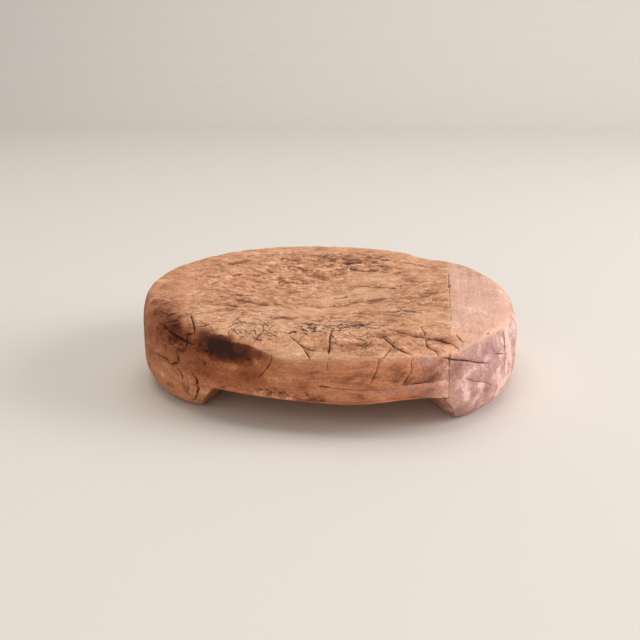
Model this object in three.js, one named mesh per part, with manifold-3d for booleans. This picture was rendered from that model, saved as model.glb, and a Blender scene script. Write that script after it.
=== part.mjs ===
// Round cutting board on two foot rails: a dished slab of wood held between two end cleats.
// Each cleat is deeper than the slab and its lower part is the foot that the board stands on.
// A blind tongue on each end of the slab sits in a groove of the cleat, locked by wooden pegs.
// Millimetres. +X points to the right cleat, +Y to the back, +Z up, and the soles lie at z = 0.

import * as THREE from 'three';
import { mergeVertices } from 'three/addons/utils/BufferGeometryUtils.js';
import Module from 'manifold-3d';

// Outline seen from above: a superellipse with the unevenness of hand work
const boardHalfLength = 140;
const boardHalfWidth = 129.7;
const outlineSquareness = 2.155;
const endLobe = 2.8;
const sideLobe = 1.6;
const cornerSwell = 1.6;

// Heights and the side profile
const footHeight = 22.6;
const rimThickness = 43.3;
const rimFallToRight = 4.4;
const rimRiseToBack = 2.8;
const crestInset = 12.9;
const crestInsetSwing = 4.2;
const crestRounding = 23.2;
const soleInset = 15;
const soleRounding = 21.5;

// Worn dish in the top
const dishDepth = 11;
const dishHalfLength = 102;
const dishHalfWidth = 92;
const dishShiftX = -10;
const dishShiftY = 4;

// Cleats, and the feet that reach in under the slab and bow towards the middle of their length
const leftCleatWidth = 54;
const rightCleatWidth = 51;
const seamGap = 0.3;
const leftFootReach = 17;
const rightFootReach = 26;
const leftFootBow = 15;
const rightFootBow = 32;
const bowReference = 100;
const footLean = 17.5;

// Blind tongue and groove
const tongueLength = 18;
const tongueThickness = 12;
const tongueRise = 12;
const tongueEndWall = 22;
const grooveClearance = 0.3;

// Pegs driven up from the soles through the tongue
const pegRadius = 4.5;
const pegFacets = 10;
const pegClearance = 0.3;
const pegRecess = 1.2;
const pegBite = 6;
const pegNose = 3;
const pegNoseTaper = 1.2;
const pegEndMargin = 12;

// Fineness of the surfaces
const outlineSteps = 96;
const topRings = 8;
const roundingSteps = 5;
const footEdgeSteps = 16;
const boreSegments = 20;
const weldTolerance = 1e-4;

// Cutters reach past the board by this much
const cutMargin = 20;

// Derived places
const rimHeight = footHeight + rimThickness;
const tongueMiddle = footHeight + tongueRise + tongueThickness / 2;
const pegTop = tongueMiddle + tongueThickness / 2 + grooveClearance + pegBite;
const reachX = boardHalfLength + cutMargin;
const reachY = boardHalfWidth + cutMargin;
const reachZ = rimHeight + rimFallToRight + rimRiseToBack + cutMargin;

// The two ends of the board: which way each lies, where its seam is and how its foot is cut
const leftEnd = {
  name: 'left',
  sign: -1,
  seam: boardHalfLength - leftCleatWidth,
  footReach: leftFootReach,
  footBow: leftFootBow,
};
const rightEnd = {
  name: 'right',
  sign: 1,
  seam: boardHalfLength - rightCleatWidth,
  footReach: rightFootReach,
  footBow: rightFootBow,
};
const ends = [leftEnd, rightEnd];

const wasm = await Module();
wasm.setup();

// Point of the outline at angle t, moved in by an inset, before it is centred
function hewnPoint(t, inset) {
  const c = Math.cos(t);
  const s = Math.sin(t);
  const power = Math.abs(c) ** outlineSquareness + Math.abs(s) ** outlineSquareness;
  const swell = power ** (-1 / outlineSquareness);
  const lobes = -endLobe * Math.cos(3 * t) - sideLobe * Math.sin(3 * t) + cornerSwell * Math.sin(4 * t);
  const x = (boardHalfLength + lobes - inset) * swell * c;
  const y = (boardHalfWidth + lobes - inset) * swell * s;
  return new THREE.Vector2(x, y);
}

// Angles around the board, and the shift that centres the outline on the origin
const angles = Array.from({ length: outlineSteps }, (_, i) => (2 * Math.PI * i) / outlineSteps);
const outlineBox = new THREE.Box2().setFromPoints(angles.map((t) => hewnPoint(t, 0)));
const outlineCentre = outlineBox.getCenter(new THREE.Vector2());

function outlinePoint(t, inset) {
  return hewnPoint(t, inset).sub(outlineCentre);
}

// The rim's crest is a plane that falls to the right and rises to the back
function crestHeight(x, y) {
  return rimHeight - (rimFallToRight * x) / boardHalfLength + (rimRiseToBack * y) / boardHalfWidth;
}

// The dish is a cosine bell below that plane
function topHeight(x, y) {
  const u = (x - dishShiftX) / dishHalfLength;
  const v = (y - dishShiftY) / dishHalfWidth;
  const rho = Math.min(1, Math.hypot(u, v));
  return crestHeight(x, y) - dishDepth * 0.5 * (1 + Math.cos(Math.PI * rho));
}

// Closed geometry through rings of points, counted upward, with a fan over each end
function loft(rings) {
  const count = rings[0].length;
  const points = rings.flat();
  const faces = [];
  for (let r = 0; r + 1 < rings.length; r += 1) {
    for (let i = 0; i < count; i += 1) {
      const j = (i + 1) % count;
      const low = r * count;
      const high = low + count;
      faces.push(low + i, low + j, high + j);
      faces.push(low + i, high + j, high + i);
    }
  }
  const middle = (ring) => ring.reduce((sum, p) => sum.add(p), new THREE.Vector3()).divideScalar(count);
  const bottom = points.push(middle(rings[0])) - 1;
  const top = points.push(middle(rings[rings.length - 1])) - 1;
  const lastRing = (rings.length - 1) * count;
  for (let i = 0; i < count; i += 1) {
    const j = (i + 1) % count;
    faces.push(bottom, j, i);
    faces.push(top, lastRing + i, lastRing + j);
  }
  const geometry = new THREE.BufferGeometry().setFromPoints(points);
  geometry.setIndex(faces);
  return geometry;
}

// Solid for joining and cutting, from any closed geometry
function solidOf(geometry) {
  const bare = geometry.clone();
  bare.deleteAttribute('normal');
  bare.deleteAttribute('uv');
  const merged = mergeVertices(bare, weldTolerance);
  const vertProperties = new Float32Array(merged.attributes.position.array);
  const triVerts = new Uint32Array(merged.index.array);
  return new wasm.Manifold(new wasm.Mesh({ numProp: 3, vertProperties, triVerts }));
}

function geometryOf(solid) {
  const mesh = solid.getMesh();
  const geometry = new THREE.BufferGeometry();
  geometry.setAttribute('position', new THREE.BufferAttribute(mesh.vertProperties, 3));
  geometry.setIndex(new THREE.BufferAttribute(mesh.triVerts, 1));
  geometry.computeVertexNormals();
  return geometry;
}

// Box between two corners
function block(low, high) {
  const box = new THREE.Box3(new THREE.Vector3(...low), new THREE.Vector3(...high));
  const size = box.getSize(new THREE.Vector3());
  const centre = box.getCenter(new THREE.Vector3());
  return new THREE.BoxGeometry(size.x, size.y, size.z).translate(centre.x, centre.y, centre.z);
}

// The same box measured outward from the middle, on the right end or mirrored to the left one
function endBlock(end, low, high) {
  const across = [end.sign * low[0], end.sign * high[0]];
  return block([Math.min(...across), low[1], low[2]], [Math.max(...across), high[1], high[2]]);
}

// Whole rounded board before it is parted: sole, side, rim rounding and dished top
function boardBlank() {
  const rings = [];
  for (let k = 0; k <= roundingSteps; k += 1) {
    const turn = (Math.PI / 2) * (k / roundingSteps);
    const inset = soleInset * (1 - Math.sin(turn));
    const z = soleRounding * (1 - Math.cos(turn));
    rings.push(angles.map((t) => {
      const p = outlinePoint(t, inset);
      return new THREE.Vector3(p.x, p.y, z);
    }));
  }
  const crestInsetAt = (t) => crestInset + crestInsetSwing * Math.cos(t);
  for (let k = 0; k <= roundingSteps; k += 1) {
    const turn = (Math.PI / 2) * (k / roundingSteps);
    rings.push(angles.map((t) => {
      const crest = outlinePoint(t, crestInsetAt(t));
      const p = outlinePoint(t, crestInsetAt(t) * (1 - Math.cos(turn)));
      const z = topHeight(crest.x, crest.y) - crestRounding * (1 - Math.sin(turn));
      return new THREE.Vector3(p.x, p.y, z);
    }));
  }
  for (let k = topRings - 1; k >= 1; k -= 1) {
    const share = k / topRings;
    rings.push(angles.map((t) => {
      const p = outlinePoint(t, crestInsetAt(t)).multiplyScalar(share);
      return new THREE.Vector3(p.x, p.y, topHeight(p.x, p.y));
    }));
  }
  return loft(rings);
}

// Place of a foot's inner face at y and z: bowed along its length, and leaning in towards the slab
function footFace(end, y, z) {
  const bow = end.footBow * (y / bowReference) ** 2;
  const lean = footLean * (z / footHeight);
  return new THREE.Vector3(end.sign * (end.seam - end.footReach + bow - lean), y, z);
}

// Hollow under the slab, between the feet, wider below than above and at its two mouths
function underHollow() {
  const steps = Array.from({ length: footEdgeSteps + 1 }, (_, i) => reachY * ((2 * i) / footEdgeSteps - 1));
  const ringAt = (z) => {
    const right = steps.map((y) => footFace(rightEnd, y, z));
    const left = steps.map((y) => footFace(leftEnd, y, z));
    return [...right, ...left.reverse()];
  };
  return loft([ringAt(-cutMargin), ringAt(footHeight)]);
}

// Half span of an end's tongue: it stops short of the outline, so the joint doesn't show outside
function tongueHalfSpan(end) {
  const tip = end.seam + tongueLength + grooveClearance;
  const soleEdge = angles.map((t) => outlinePoint(t, soleInset));
  const beyondTip = soleEdge.filter((p) => end.sign * p.x > tip);
  return Math.max(...beyondTip.map((p) => Math.abs(p.y))) - tongueEndWall;
}

// Tongue of an end, or its groove when it is grown by a clearance
function tongue(end, clearance) {
  const halfSpan = tongueHalfSpan(end) + clearance;
  const halfThickness = tongueThickness / 2 + clearance;
  const low = [end.seam - clearance, -halfSpan, tongueMiddle - halfThickness];
  const high = [end.seam + tongueLength + clearance, halfSpan, tongueMiddle + halfThickness];
  return endBlock(end, low, high);
}

// Places of an end's pegs on the floor plane, by name
function pegPlaces(end) {
  const x = end.sign * (end.seam + tongueLength / 2);
  const spacing = tongueHalfSpan(end) - pegEndMargin;
  return { front: [x, -spacing], middle: [x, 0], back: [x, spacing] };
}

// Round bores for the pegs of an end
function pegBores(end) {
  const radius = pegRadius + pegClearance;
  const height = pegTop + pegClearance + cutMargin;
  const bore = new THREE.CylinderGeometry(radius, radius, height, boreSegments).rotateX(Math.PI / 2);
  bore.translate(0, 0, height / 2 - cutMargin);
  return Object.values(pegPlaces(end)).map(([x, y]) => solidOf(bore.clone().translate(x, y, 0)));
}

// Slab: the board between the seams and above the feet, with a tongue on each end
function makeSlab(blank) {
  const room = block([-leftEnd.seam, -reachY, footHeight], [rightEnd.seam, reachY, reachZ]);
  let slab = blank.intersect(solidOf(room));
  for (const end of ends) {
    slab = slab.add(solidOf(tongue(end, 0)));
    for (const bore of pegBores(end)) {
      slab = slab.subtract(bore);
    }
  }
  return slab;
}

// Cleat: the board outside a seam, with the foot below that laps under the slab
function makeCleat(blank, hollow, end) {
  const outer = endBlock(end, [end.seam + seamGap, -reachY, -cutMargin], [reachX, reachY, reachZ]);
  const lower = endBlock(end, [0, -reachY, -cutMargin], [reachX, reachY, footHeight - seamGap]);
  const room = solidOf(outer).add(solidOf(lower));
  let cleat = blank.intersect(room).subtract(hollow).subtract(solidOf(tongue(end, grooveClearance)));
  for (const bore of pegBores(end)) {
    cleat = cleat.subtract(bore);
  }
  return cleat;
}

// Whittled peg with a tapered nose, standing on its driven end
function makePeg() {
  const length = pegTop - pegRecess;
  const profile = [
    new THREE.Vector2(0, 0),
    new THREE.Vector2(pegRadius, 0),
    new THREE.Vector2(pegRadius, length - pegNose),
    new THREE.Vector2(pegRadius - pegNoseTaper, length),
    new THREE.Vector2(0, length),
  ];
  const peg = new THREE.LatheGeometry(profile, pegFacets);
  peg.rotateX(Math.PI / 2);
  return geometryOf(solidOf(peg));
}

// Woods: pale reddish slab, paler cleats, darker pegs
const slabWood = new THREE.MeshStandardMaterial({ color: 0xbb8a68, roughness: 0.85, metalness: 0 });
const cleatWood = new THREE.MeshStandardMaterial({ color: 0xc69878, roughness: 0.85, metalness: 0 });
const pegWood = new THREE.MeshStandardMaterial({ color: 0x8d6747, roughness: 0.8, metalness: 0 });

const board = new THREE.Group();
board.name = 'round_cutting_board';

function place(name, geometry, material) {
  const mesh = new THREE.Mesh(geometry, material);
  mesh.name = name;
  board.add(mesh);
  return mesh;
}

const blank = solidOf(boardBlank());
const hollow = solidOf(underHollow());
place('slab', geometryOf(makeSlab(blank)), slabWood);
for (const end of ends) {
  place(`${end.name}_cleat`, geometryOf(makeCleat(blank, hollow, end)), cleatWood);
  for (const [placeName, [x, y]] of Object.entries(pegPlaces(end))) {
    const peg = place(`${end.name}_peg_${placeName}`, makePeg(), pegWood);
    peg.position.set(x, y, pegRecess);
  }
}

export default board;
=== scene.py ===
import math
import bpy
import numpy as np
from mathutils import Matrix, Vector
from mathutils.bvhtree import BVHTree


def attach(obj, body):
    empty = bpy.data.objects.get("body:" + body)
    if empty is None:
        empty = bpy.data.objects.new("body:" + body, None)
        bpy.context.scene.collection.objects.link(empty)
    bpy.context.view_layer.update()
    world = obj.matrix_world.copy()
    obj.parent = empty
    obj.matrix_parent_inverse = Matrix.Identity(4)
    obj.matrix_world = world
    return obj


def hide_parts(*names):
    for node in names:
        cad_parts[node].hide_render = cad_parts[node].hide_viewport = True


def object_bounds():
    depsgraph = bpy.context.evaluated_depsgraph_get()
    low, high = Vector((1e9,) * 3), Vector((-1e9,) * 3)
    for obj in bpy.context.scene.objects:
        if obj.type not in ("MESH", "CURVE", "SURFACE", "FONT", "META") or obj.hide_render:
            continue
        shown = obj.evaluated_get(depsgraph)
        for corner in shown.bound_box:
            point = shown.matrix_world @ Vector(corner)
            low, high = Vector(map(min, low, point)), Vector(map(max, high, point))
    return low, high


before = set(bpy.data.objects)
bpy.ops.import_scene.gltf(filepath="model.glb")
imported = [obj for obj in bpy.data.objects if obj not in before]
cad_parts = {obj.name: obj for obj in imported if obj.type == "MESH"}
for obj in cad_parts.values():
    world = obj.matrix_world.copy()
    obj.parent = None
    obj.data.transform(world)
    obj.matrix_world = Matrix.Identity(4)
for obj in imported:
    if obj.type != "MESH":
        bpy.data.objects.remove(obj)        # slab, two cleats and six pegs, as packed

cadBox = [list(corner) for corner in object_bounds()]
mm = 0.001

# the board's form in millimetres: hewn outline, side profile, tilted rim, dish and feet
board = {
    "halfLength": 140.0, "halfWidth": 129.7, "squareness": 2.155,
    "endLobe": 2.8, "sideLobe": 1.6, "cornerSwell": 1.6, "outlineSteps": 96, "sweepSteps": 1441,
    "footHeight": 22.6, "rimHeight": 65.9, "fallToRight": 4.4, "riseToBack": 2.8,
    "crestInset": 12.9, "crestSwing": 4.2, "crestRounding": 23.2,
    "soleInset": 15.0, "soleRounding": 21.5, "straightShare": 0.4,
    "dishDepth": 11.0, "dishHalfLength": 102.0, "dishHalfWidth": 92.0, "dishX": -10.0, "dishY": 4.0,
    "footLean": 17.5, "bowReference": 100.0, "footRound": 4.5,
}
ends = {
    "left": {"sign": -1, "seam": 86.0, "gap": 0.01, "footReach": 17.0, "footBow": 15.0,
             "pegX": -95.0, "pegSpacing": 33.35, "tongueHalf": 45.35},
    "right": {"sign": 1, "seam": 89.0, "gap": 0.02, "footReach": 26.0, "footBow": 32.0,
              "pegX": 98.0, "pegSpacing": 32.68, "tongueHalf": 44.68},
}
joint = {"tongueLength": 18.0, "tongueLow": 34.6, "tongueHigh": 46.6, "clearance": 0.3, "boreSides": 20,
         "boreRadius": 4.8, "boreHigh": 53.2, "overcut": 2.0}

# where the photograph was taken from, in millimetres, degrees and pixels of the 640 frame
shot = {
    "distance": 750.0, "azimuth": 5.604, "elevation": 20.549, "focal": 962.0, "sensor": 36.0,
    "aim": (3.04, -0.98, 0.0), "aimPixel": (335.2, 367.3), "middle": 320.0, "frame": 640.0,
    "pixelsPerMm": 1.37,
}

# whole numbers that scramble a cell's place into an even share
scramble = {"primes": (73856093, 19349663, 83492791), "turns": ((13, 1274126177), (15, 668265263)),
            "mask": 0x7FFFFFFF, "levels": 65521, "seedStep": 31.7, "cellSeed": 7, "columnStep": 97}

# unevenness by what it shapes: size of its lumps in millimetres, and seed
grains = {
    "crease": (9.0, 6), "lineAcross": (5.0, 2), "lineUp": (5.0, 5), "patchEdge": (9.0, 61),
    "sideLine": (24.0, 4), "seamSway": (7.0, 8), "seamBreak": (12.0, 9), "crackWidth": (4.0, 77),
    "dentEdge": (4.0, 91), "warpX": (6.0, 71), "warpY": (6.0, 72), "warpZ": (6.0, 73),
    "chopPatch": (22.0, 15), "creaseTone": (7.0, 44), "fine": (2.8, 23), "knot": (4.0, 29),
    "torn": (5.0, 37), "hewn": (30.0, 3), "whittled": (5.0, 50),
}


# eased step from 0 to 1 between two values
def easeStep(low, high, v):
    t = np.clip((v - low) / (high - low), 0.0, 1.0)
    return t * t * (3.0 - 2.0 * t)


# two rounds of shift and multiply, with a number added in the first
def scrambled(n, added=0):
    (firstShift, firstFactor), (lastShift, lastFactor) = scramble["turns"]
    n = ((n ^ (n >> firstShift)) * firstFactor + added) & scramble["mask"]
    return ((n ^ (n >> lastShift)) * lastFactor) & scramble["mask"]


# value noise: a number for each corner of a cubic lattice, eased between corners, from -1 to 1
def latticeNoise(points, size, seed):
    q = points / size + scramble["seedStep"] * seed
    cell = np.floor(q).astype(np.int64)
    f = q - cell
    f = f * f * (3.0 - 2.0 * f)
    first, second, third = scramble["primes"]
    total = np.zeros(len(points))
    for corner in np.ndindex(2, 2, 2):
        k = cell + np.array(corner)
        n = scrambled((k[:, 0] * first) ^ (k[:, 1] * second) ^ (k[:, 2] * third))
        weight = np.prod(np.where(np.array(corner) == 1, f, 1.0 - f), axis=1)
        total += weight * (n % scramble["levels"]) / scramble["levels"]
    return 2.0 * total - 1.0


# three octaves of that noise, each half as large and half as strong as the one before
def roughNoise(points, size, seed):
    octaves = [latticeNoise(points, size / 2 ** k, seed + k) / 2 ** k for k in range(3)]
    return sum(octaves) / 1.75


# outline: superellipse radius in direction t with three- and four-lobed unevenness, moved in by an inset
def hewnOutline(t, inset):
    c, s = np.cos(t), np.sin(t)
    n = board["squareness"]
    swell = (np.abs(c) ** n + np.abs(s) ** n) ** (-1.0 / n)
    lobes = -board["endLobe"] * np.cos(3 * t) - board["sideLobe"] * np.sin(3 * t)
    lobes = lobes + board["cornerSwell"] * np.sin(4 * t)
    return (board["halfLength"] + lobes - inset) * swell * c, (board["halfWidth"] + lobes - inset) * swell * s


outlineTurn = np.linspace(0.0, 2.0 * math.pi, board["outlineSteps"], endpoint=False)
outlineCentre = [0.5 * (axis.min() + axis.max()) for axis in hewnOutline(outlineTurn, 0.0)]


def outlinePoint(t, inset):
    x, y = hewnOutline(t, inset)
    return x - outlineCentre[0], y - outlineCentre[1]


# how far from the middle of the dish: 0 there and 1 at its edge
def dishReach(x, y):
    u = (x - board["dishX"]) / board["dishHalfLength"]
    v = (y - board["dishY"]) / board["dishHalfWidth"]
    return np.hypot(u, v)


# top: the rim's tilted plane less a cosine bell for the dish
def topHeight(x, y):
    crest = board["rimHeight"] - board["fallToRight"] * x / board["halfLength"]
    crest = crest + board["riseToBack"] * y / board["halfWidth"]
    rho = np.minimum(1.0, dishReach(x, y))
    return crest - board["dishDepth"] * 0.5 * (1.0 + np.cos(math.pi * rho))


# crest of the rim in direction t: how far in it lies and how high it is
def rimCrest(t):
    inset = board["crestInset"] + board["crestSwing"] * np.cos(t)
    return inset, topHeight(*outlinePoint(t, inset))


# side above the slab's underside: straight up for the first share, then a quarter ellipse to the crest
def upperSide(t, share, underside):
    crestInset, crestZ = rimCrest(t)
    shoulder = crestZ - board["crestRounding"]
    split = board["straightShare"]
    if share < split:
        x, y = outlinePoint(t, 0.0)
        return x, y, underside + (shoulder - underside) * share / split
    turn = 0.5 * math.pi * (share - split) / (1.0 - split)
    x, y = outlinePoint(t, crestInset * (1.0 - math.cos(turn)))
    return x, y, shoulder + board["crestRounding"] * math.sin(turn)


# side of a foot: a quarter ellipse from the sole's edge out to the full outline, then straight up
def footSide(t, z):
    drop = np.clip(1.0 - z / board["soleRounding"], 0.0, 1.0)
    x, y = outlinePoint(t, board["soleInset"] * (1.0 - math.sqrt(1.0 - drop * drop)))
    return x, y, np.full_like(x, z)


# inner face of a foot: bowed along its length, leaning in towards the slab and rounded over to the sole
def footFace(end, y, z):
    bow = end["footBow"] * (y / board["bowReference"]) ** 2
    lean = board["footLean"] * z / board["footHeight"]
    low = np.maximum(board["footRound"] - z, 0.0)
    worn = board["footRound"] - np.sqrt(board["footRound"] ** 2 - low ** 2)
    return end["sign"] * (end["seam"] - end["footReach"] + bow - lean + worn)


# shares from 0 to 1 whose steps grow evenly by the given ratio
def growingShares(count, ratio):
    steps = np.linspace(1.0, ratio, count)
    return np.concatenate([[0.0], np.cumsum(steps)]) / steps.sum()


# meshes: points that agree to this many parts of a millimetre are one, and edges over this angle stay sharp
meshing = {"partsPerMm": 1.0e5, "sharpAngle": 50.0}


# closed grid to mesh arrays: columns run one way, rows wrap round, equal points become one vertex
def weldGrid(grid):
    columns, rows = grid.shape[:2]
    keys = np.round(grid.reshape(-1, 3) * meshing["partsPerMm"]).astype(np.int64)
    _, first, index = np.unique(keys, axis=0, return_index=True, return_inverse=True)
    points = grid.reshape(-1, 3)[first]
    index = index.reshape(columns, rows)
    after = np.roll(index, -1, axis=1)
    quads = np.stack([index[:-1], after[:-1], after[1:], index[1:]], axis=-1).reshape(-1, 4)
    triangles = np.concatenate([quads[:, [0, 1, 2]], quads[:, [0, 2, 3]]])
    a, b, c = triangles.T
    triangles = triangles[(a != b) & (b != c) & (a != c)]
    corners = points[triangles]
    volume = np.einsum("ij,ij->i", corners[:, 0], np.cross(corners[:, 1], corners[:, 2])).sum()
    if volume < 0:
        triangles = triangles[:, ::-1]
    return points, triangles


# vertex normals: the summed cross products of the triangles round each vertex
def vertexNormals(points, triangles):
    corners = points[triangles]
    face = np.cross(corners[:, 1] - corners[:, 0], corners[:, 2] - corners[:, 0])
    total = np.zeros_like(points)
    for axis in range(3):
        for corner in range(3):
            total[:, axis] += np.bincount(triangles[:, corner], face[:, axis], len(points))
    return total / np.maximum(np.linalg.norm(total, axis=1, keepdims=True), 1e-12)


def makeMesh(name, points, triangles, layers):
    mesh = bpy.data.meshes.new(name)
    mesh.vertices.add(len(points))
    mesh.vertices.foreach_set("co", (points * mm).astype(np.float32).ravel())
    mesh.loops.add(3 * len(triangles))
    mesh.loops.foreach_set("vertex_index", triangles.astype(np.int32).ravel())
    mesh.polygons.add(len(triangles))
    mesh.polygons.foreach_set("loop_start", np.arange(0, 3 * len(triangles), 3, dtype=np.int32))
    mesh.polygons.foreach_set("use_smooth", np.ones(len(triangles), dtype=bool))
    for key, values in layers.items():
        column = mesh.attributes.new(key, "FLOAT", "POINT")
        column.data.foreach_set("value", values.astype(np.float32))
    mesh.update()
    mesh.validate()
    mesh.set_sharp_from_angle(angle=math.radians(meshing["sharpAngle"]))
    piece = bpy.data.objects.new(name, mesh)
    bpy.context.scene.collection.objects.link(piece)
    return piece


# the middle slab: counts of columns and rows, and arris steps in millimetres
slab = {"columns": 266, "arris": (0.0, 0.2, 0.5, 0.9, 1.5), "sideRows": 96, "topRows": 170, "topGrowth": 2.6,
        "backRows": 26, "underRows": 24}


# slab: loops of the cross-section at x (front side, top, back side, underside) carried along x, with tongues
def slabGrid():
    left, right = -ends["left"]["seam"], ends["right"]["seam"]
    near = np.array(slab["arris"])
    inner = np.linspace(left + near[-1], right - near[-1], slab["columns"])
    xs = np.concatenate([left + near[:-1], inner, right - near[:-1][::-1]])
    frontTurn = np.linspace(math.pi, 2.0 * math.pi, board["sweepSteps"])
    backTurn = np.linspace(math.pi, 0.0, board["sweepSteps"])

    def sideRow(turn, share):
        x, y, z = upperSide(turn, share, board["footHeight"])
        return np.stack([xs, np.interp(xs, x, y), np.interp(xs, x, z)], axis=-1)

    front = [sideRow(frontTurn, s) for s in np.linspace(0.0, 1.0, slab["sideRows"])]
    back = [sideRow(backTurn, s) for s in np.linspace(1.0, 0.0, slab["backRows"])]
    top = []
    for share in growingShares(slab["topRows"], slab["topGrowth"])[1:-1]:
        y = front[-1][:, 1] * (1.0 - share) + back[0][:, 1] * share
        top.append(np.stack([xs, y, topHeight(xs, y)], axis=-1))
    under = [back[-1] * (1.0 - s) + front[0] * s for s in np.linspace(0.0, 1.0, slab["underRows"])[1:-1]]
    grid = np.stack(front + top + back + under, axis=1)

    def tongueLoops(loop, end):
        middle = 0.5 * (joint["tongueLow"] + joint["tongueHigh"])
        halfHeight = joint["tongueHigh"] - middle
        y, z = loop[:, 1], loop[:, 2] - middle
        reach = np.maximum(np.abs(y) / end["tongueHalf"], np.abs(z) / halfHeight)
        base = np.stack([loop[:, 0], y / reach, middle + z / reach], axis=-1)
        tip = base + np.array([end["sign"] * joint["tongueLength"], 0.0, 0.0])
        close = np.broadcast_to(np.array([tip[0, 0], 0.0, middle]), tip.shape)
        return np.stack([base, tip, close])

    leftLoops = tongueLoops(grid[0], ends["left"])[::-1]
    return np.concatenate([leftLoops, grid, tongueLoops(grid[-1], ends["right"])])


# the end cleats: columns run from the front round to the back, rows go once round the section
cleat = {"columns": 290, "columnGrowth": 2.2, "footColumns": 12, "footRows": 30, "footGrowth": 1.5,
         "sideRows": 64, "topRows": 56, "soleRows": 14, "ledgeDrop": 0.05}


# cleat: foot side, upper side, top, seam face, ledge, foot's inner face and sole, row by row
def cleatGrid(end):
    sign = end["sign"]
    seam = end["seam"] + end["gap"]
    sweep = np.linspace(0.0, 1.0, board["sweepSteps"])
    share = growingShares(cleat["columns"] - 1, cleat["columnGrowth"])
    spare = np.linspace(0.0, 1.0, cleat["footColumns"], endpoint=False)
    ledge = board["footHeight"] - cleat["ledgeDrop"]

    def turnAt(sweep):
        return sign * math.pi * (sweep - 0.5) + (math.pi if sign < 0 else 0.0)

    def crossing(surface, bound):
        x, y, z = surface(turnAt(sweep))
        depth = sign * x - bound(y, z)
        inside = np.flatnonzero(depth >= 0.0)
        i, j = inside[0], inside[-1]
        first = np.interp(0.0, depth[[i - 1, i]], sweep[[i - 1, i]])
        return first, np.interp(0.0, depth[[j + 1, j]], sweep[[j + 1, j]])

    def ringRow(surface, outer):
        first, last = crossing(surface, lambda y, z: seam)
        start, stop = (first, last) if outer is None else crossing(surface, outer)
        first, last = max(first, start), min(last, stop)
        front = start + (first - start) * spare
        back = stop + (last - stop) * spare[::-1]
        x, y, z = surface(turnAt(np.concatenate([front, first + (last - first) * share, back])))
        return np.stack([x, y, z + 0.0 * x], axis=-1)

    def footBound(y, z):
        return sign * footFace(end, y, z)

    footLevels = np.linspace(0.0, 1.0, cleat["footRows"]) ** cleat["footGrowth"] * ledge
    sideShares = np.linspace(0.0, 1.0, cleat["sideRows"])
    foot = [ringRow(lambda t: footSide(t, z), footBound) for z in footLevels]
    side = [ringRow(lambda t: upperSide(t, s, ledge), None) for s in sideShares]
    crest = side[-1]
    corner = np.r_[0:cleat["footColumns"] + 1, -cleat["footColumns"] - 1:0]
    crest[corner, 0] = sign * seam
    crest[corner, 2] = topHeight(crest[corner, 0], crest[corner, 1])
    top = []
    for s in np.linspace(0.0, 1.0, cleat["topRows"])[1:]:
        x = crest[:, 0] * (1.0 - s) + sign * seam * s
        top.append(np.stack([x, crest[:, 1], topHeight(x, crest[:, 1])], axis=-1))
    across = (crest[:, 1] - crest[0, 1]) / (crest[-1, 1] - crest[0, 1])
    bulge = top[-1][:, 2] - (crest[0, 2] * (1.0 - across) + crest[-1, 2] * across)
    face = []
    for k in range(cleat["sideRows"] - 2, -1, -1):
        line = side[k][0] * (1.0 - across)[:, None] + side[k][-1] * across[:, None]
        line[:, 2] += bulge * k / (cleat["sideRows"] - 1)
        face.append(line)
    along = np.linspace(0.0, 1.0, len(crest))
    inner = []
    for k in range(cleat["footRows"] - 1, -1, -1):
        line = foot[k][0] * (1.0 - along)[:, None] + foot[k][-1] * along[:, None]
        line[1:-1, 0] = footFace(end, line[1:-1, 1], footLevels[k])
        inner.append(line)
    sole = [inner[-1] * (1.0 - s) + foot[0] * s for s in np.linspace(0.0, 1.0, cleat["soleRows"])[1:-1]]
    return np.stack(foot + side + top + face + inner + sole, axis=1)


# prism: a closed outline carried straight up from one height to another, capped by its middle
def prismGrid(outline, low, high):
    middle = np.broadcast_to(outline.mean(axis=0), outline.shape)
    layers = [(middle, low), (outline, low), (outline, high), (middle, high)]
    return np.stack([np.column_stack([loop, np.full(len(loop), z)]) for loop, z in layers])


def pegSpots(end):
    return [(end["pegX"], k * end["pegSpacing"]) for k in (-1, 0, 1)]


# bores for the three pegs of an end, as round prisms
def boreGrids(end):
    turn = np.linspace(0.0, 2.0 * math.pi, joint["boreSides"], endpoint=False)
    ring = joint["boreRadius"] * np.column_stack([np.cos(turn), np.sin(turn)])
    return [prismGrid(ring + np.array(spot), -joint["overcut"], joint["boreHigh"]) for spot in pegSpots(end)]


# groove for the tongue, as a box that also clears the seam face
def grooveGrid(end):
    inner = end["sign"] * (end["seam"] - joint["overcut"])
    outer = end["sign"] * (end["seam"] + joint["tongueLength"] + joint["clearance"])
    half = end["tongueHalf"] + joint["clearance"]
    outline = np.array([(inner, -half), (outer, -half), (outer, half), (inner, half)])
    low, high = joint["tongueLow"] - joint["clearance"], joint["tongueHigh"] + joint["clearance"]
    return prismGrid(outline, low, high)


# cut the prisms out of a closed mesh and give its points and triangles back
def cutAway(name, points, triangles, prisms):
    body = makeMesh(name, points, triangles, {})
    cutters = [makeMesh(name + "Cut", *weldGrid(prism), {}) for prism in prisms]
    for cutter in cutters:
        cut = body.modifiers.new("cut", "BOOLEAN")
        cut.object = cutter
        cut.solver = "MANIFOLD"
    bpy.context.view_layer.update()
    solid = bpy.data.meshes.new_from_object(body.evaluated_get(bpy.context.evaluated_depsgraph_get()))
    solid.calc_loop_triangles()
    points = np.empty(3 * len(solid.vertices), dtype=np.float32)
    solid.vertices.foreach_get("co", points)
    triangles = np.empty(3 * len(solid.loop_triangles), dtype=np.int32)
    solid.loop_triangles.foreach_get("vertices", triangles)
    for spare in [body] + cutters:
        bpy.data.objects.remove(spare)
    return points.reshape(-1, 3).astype(float) / mm, triangles.reshape(-1, 3)


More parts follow.
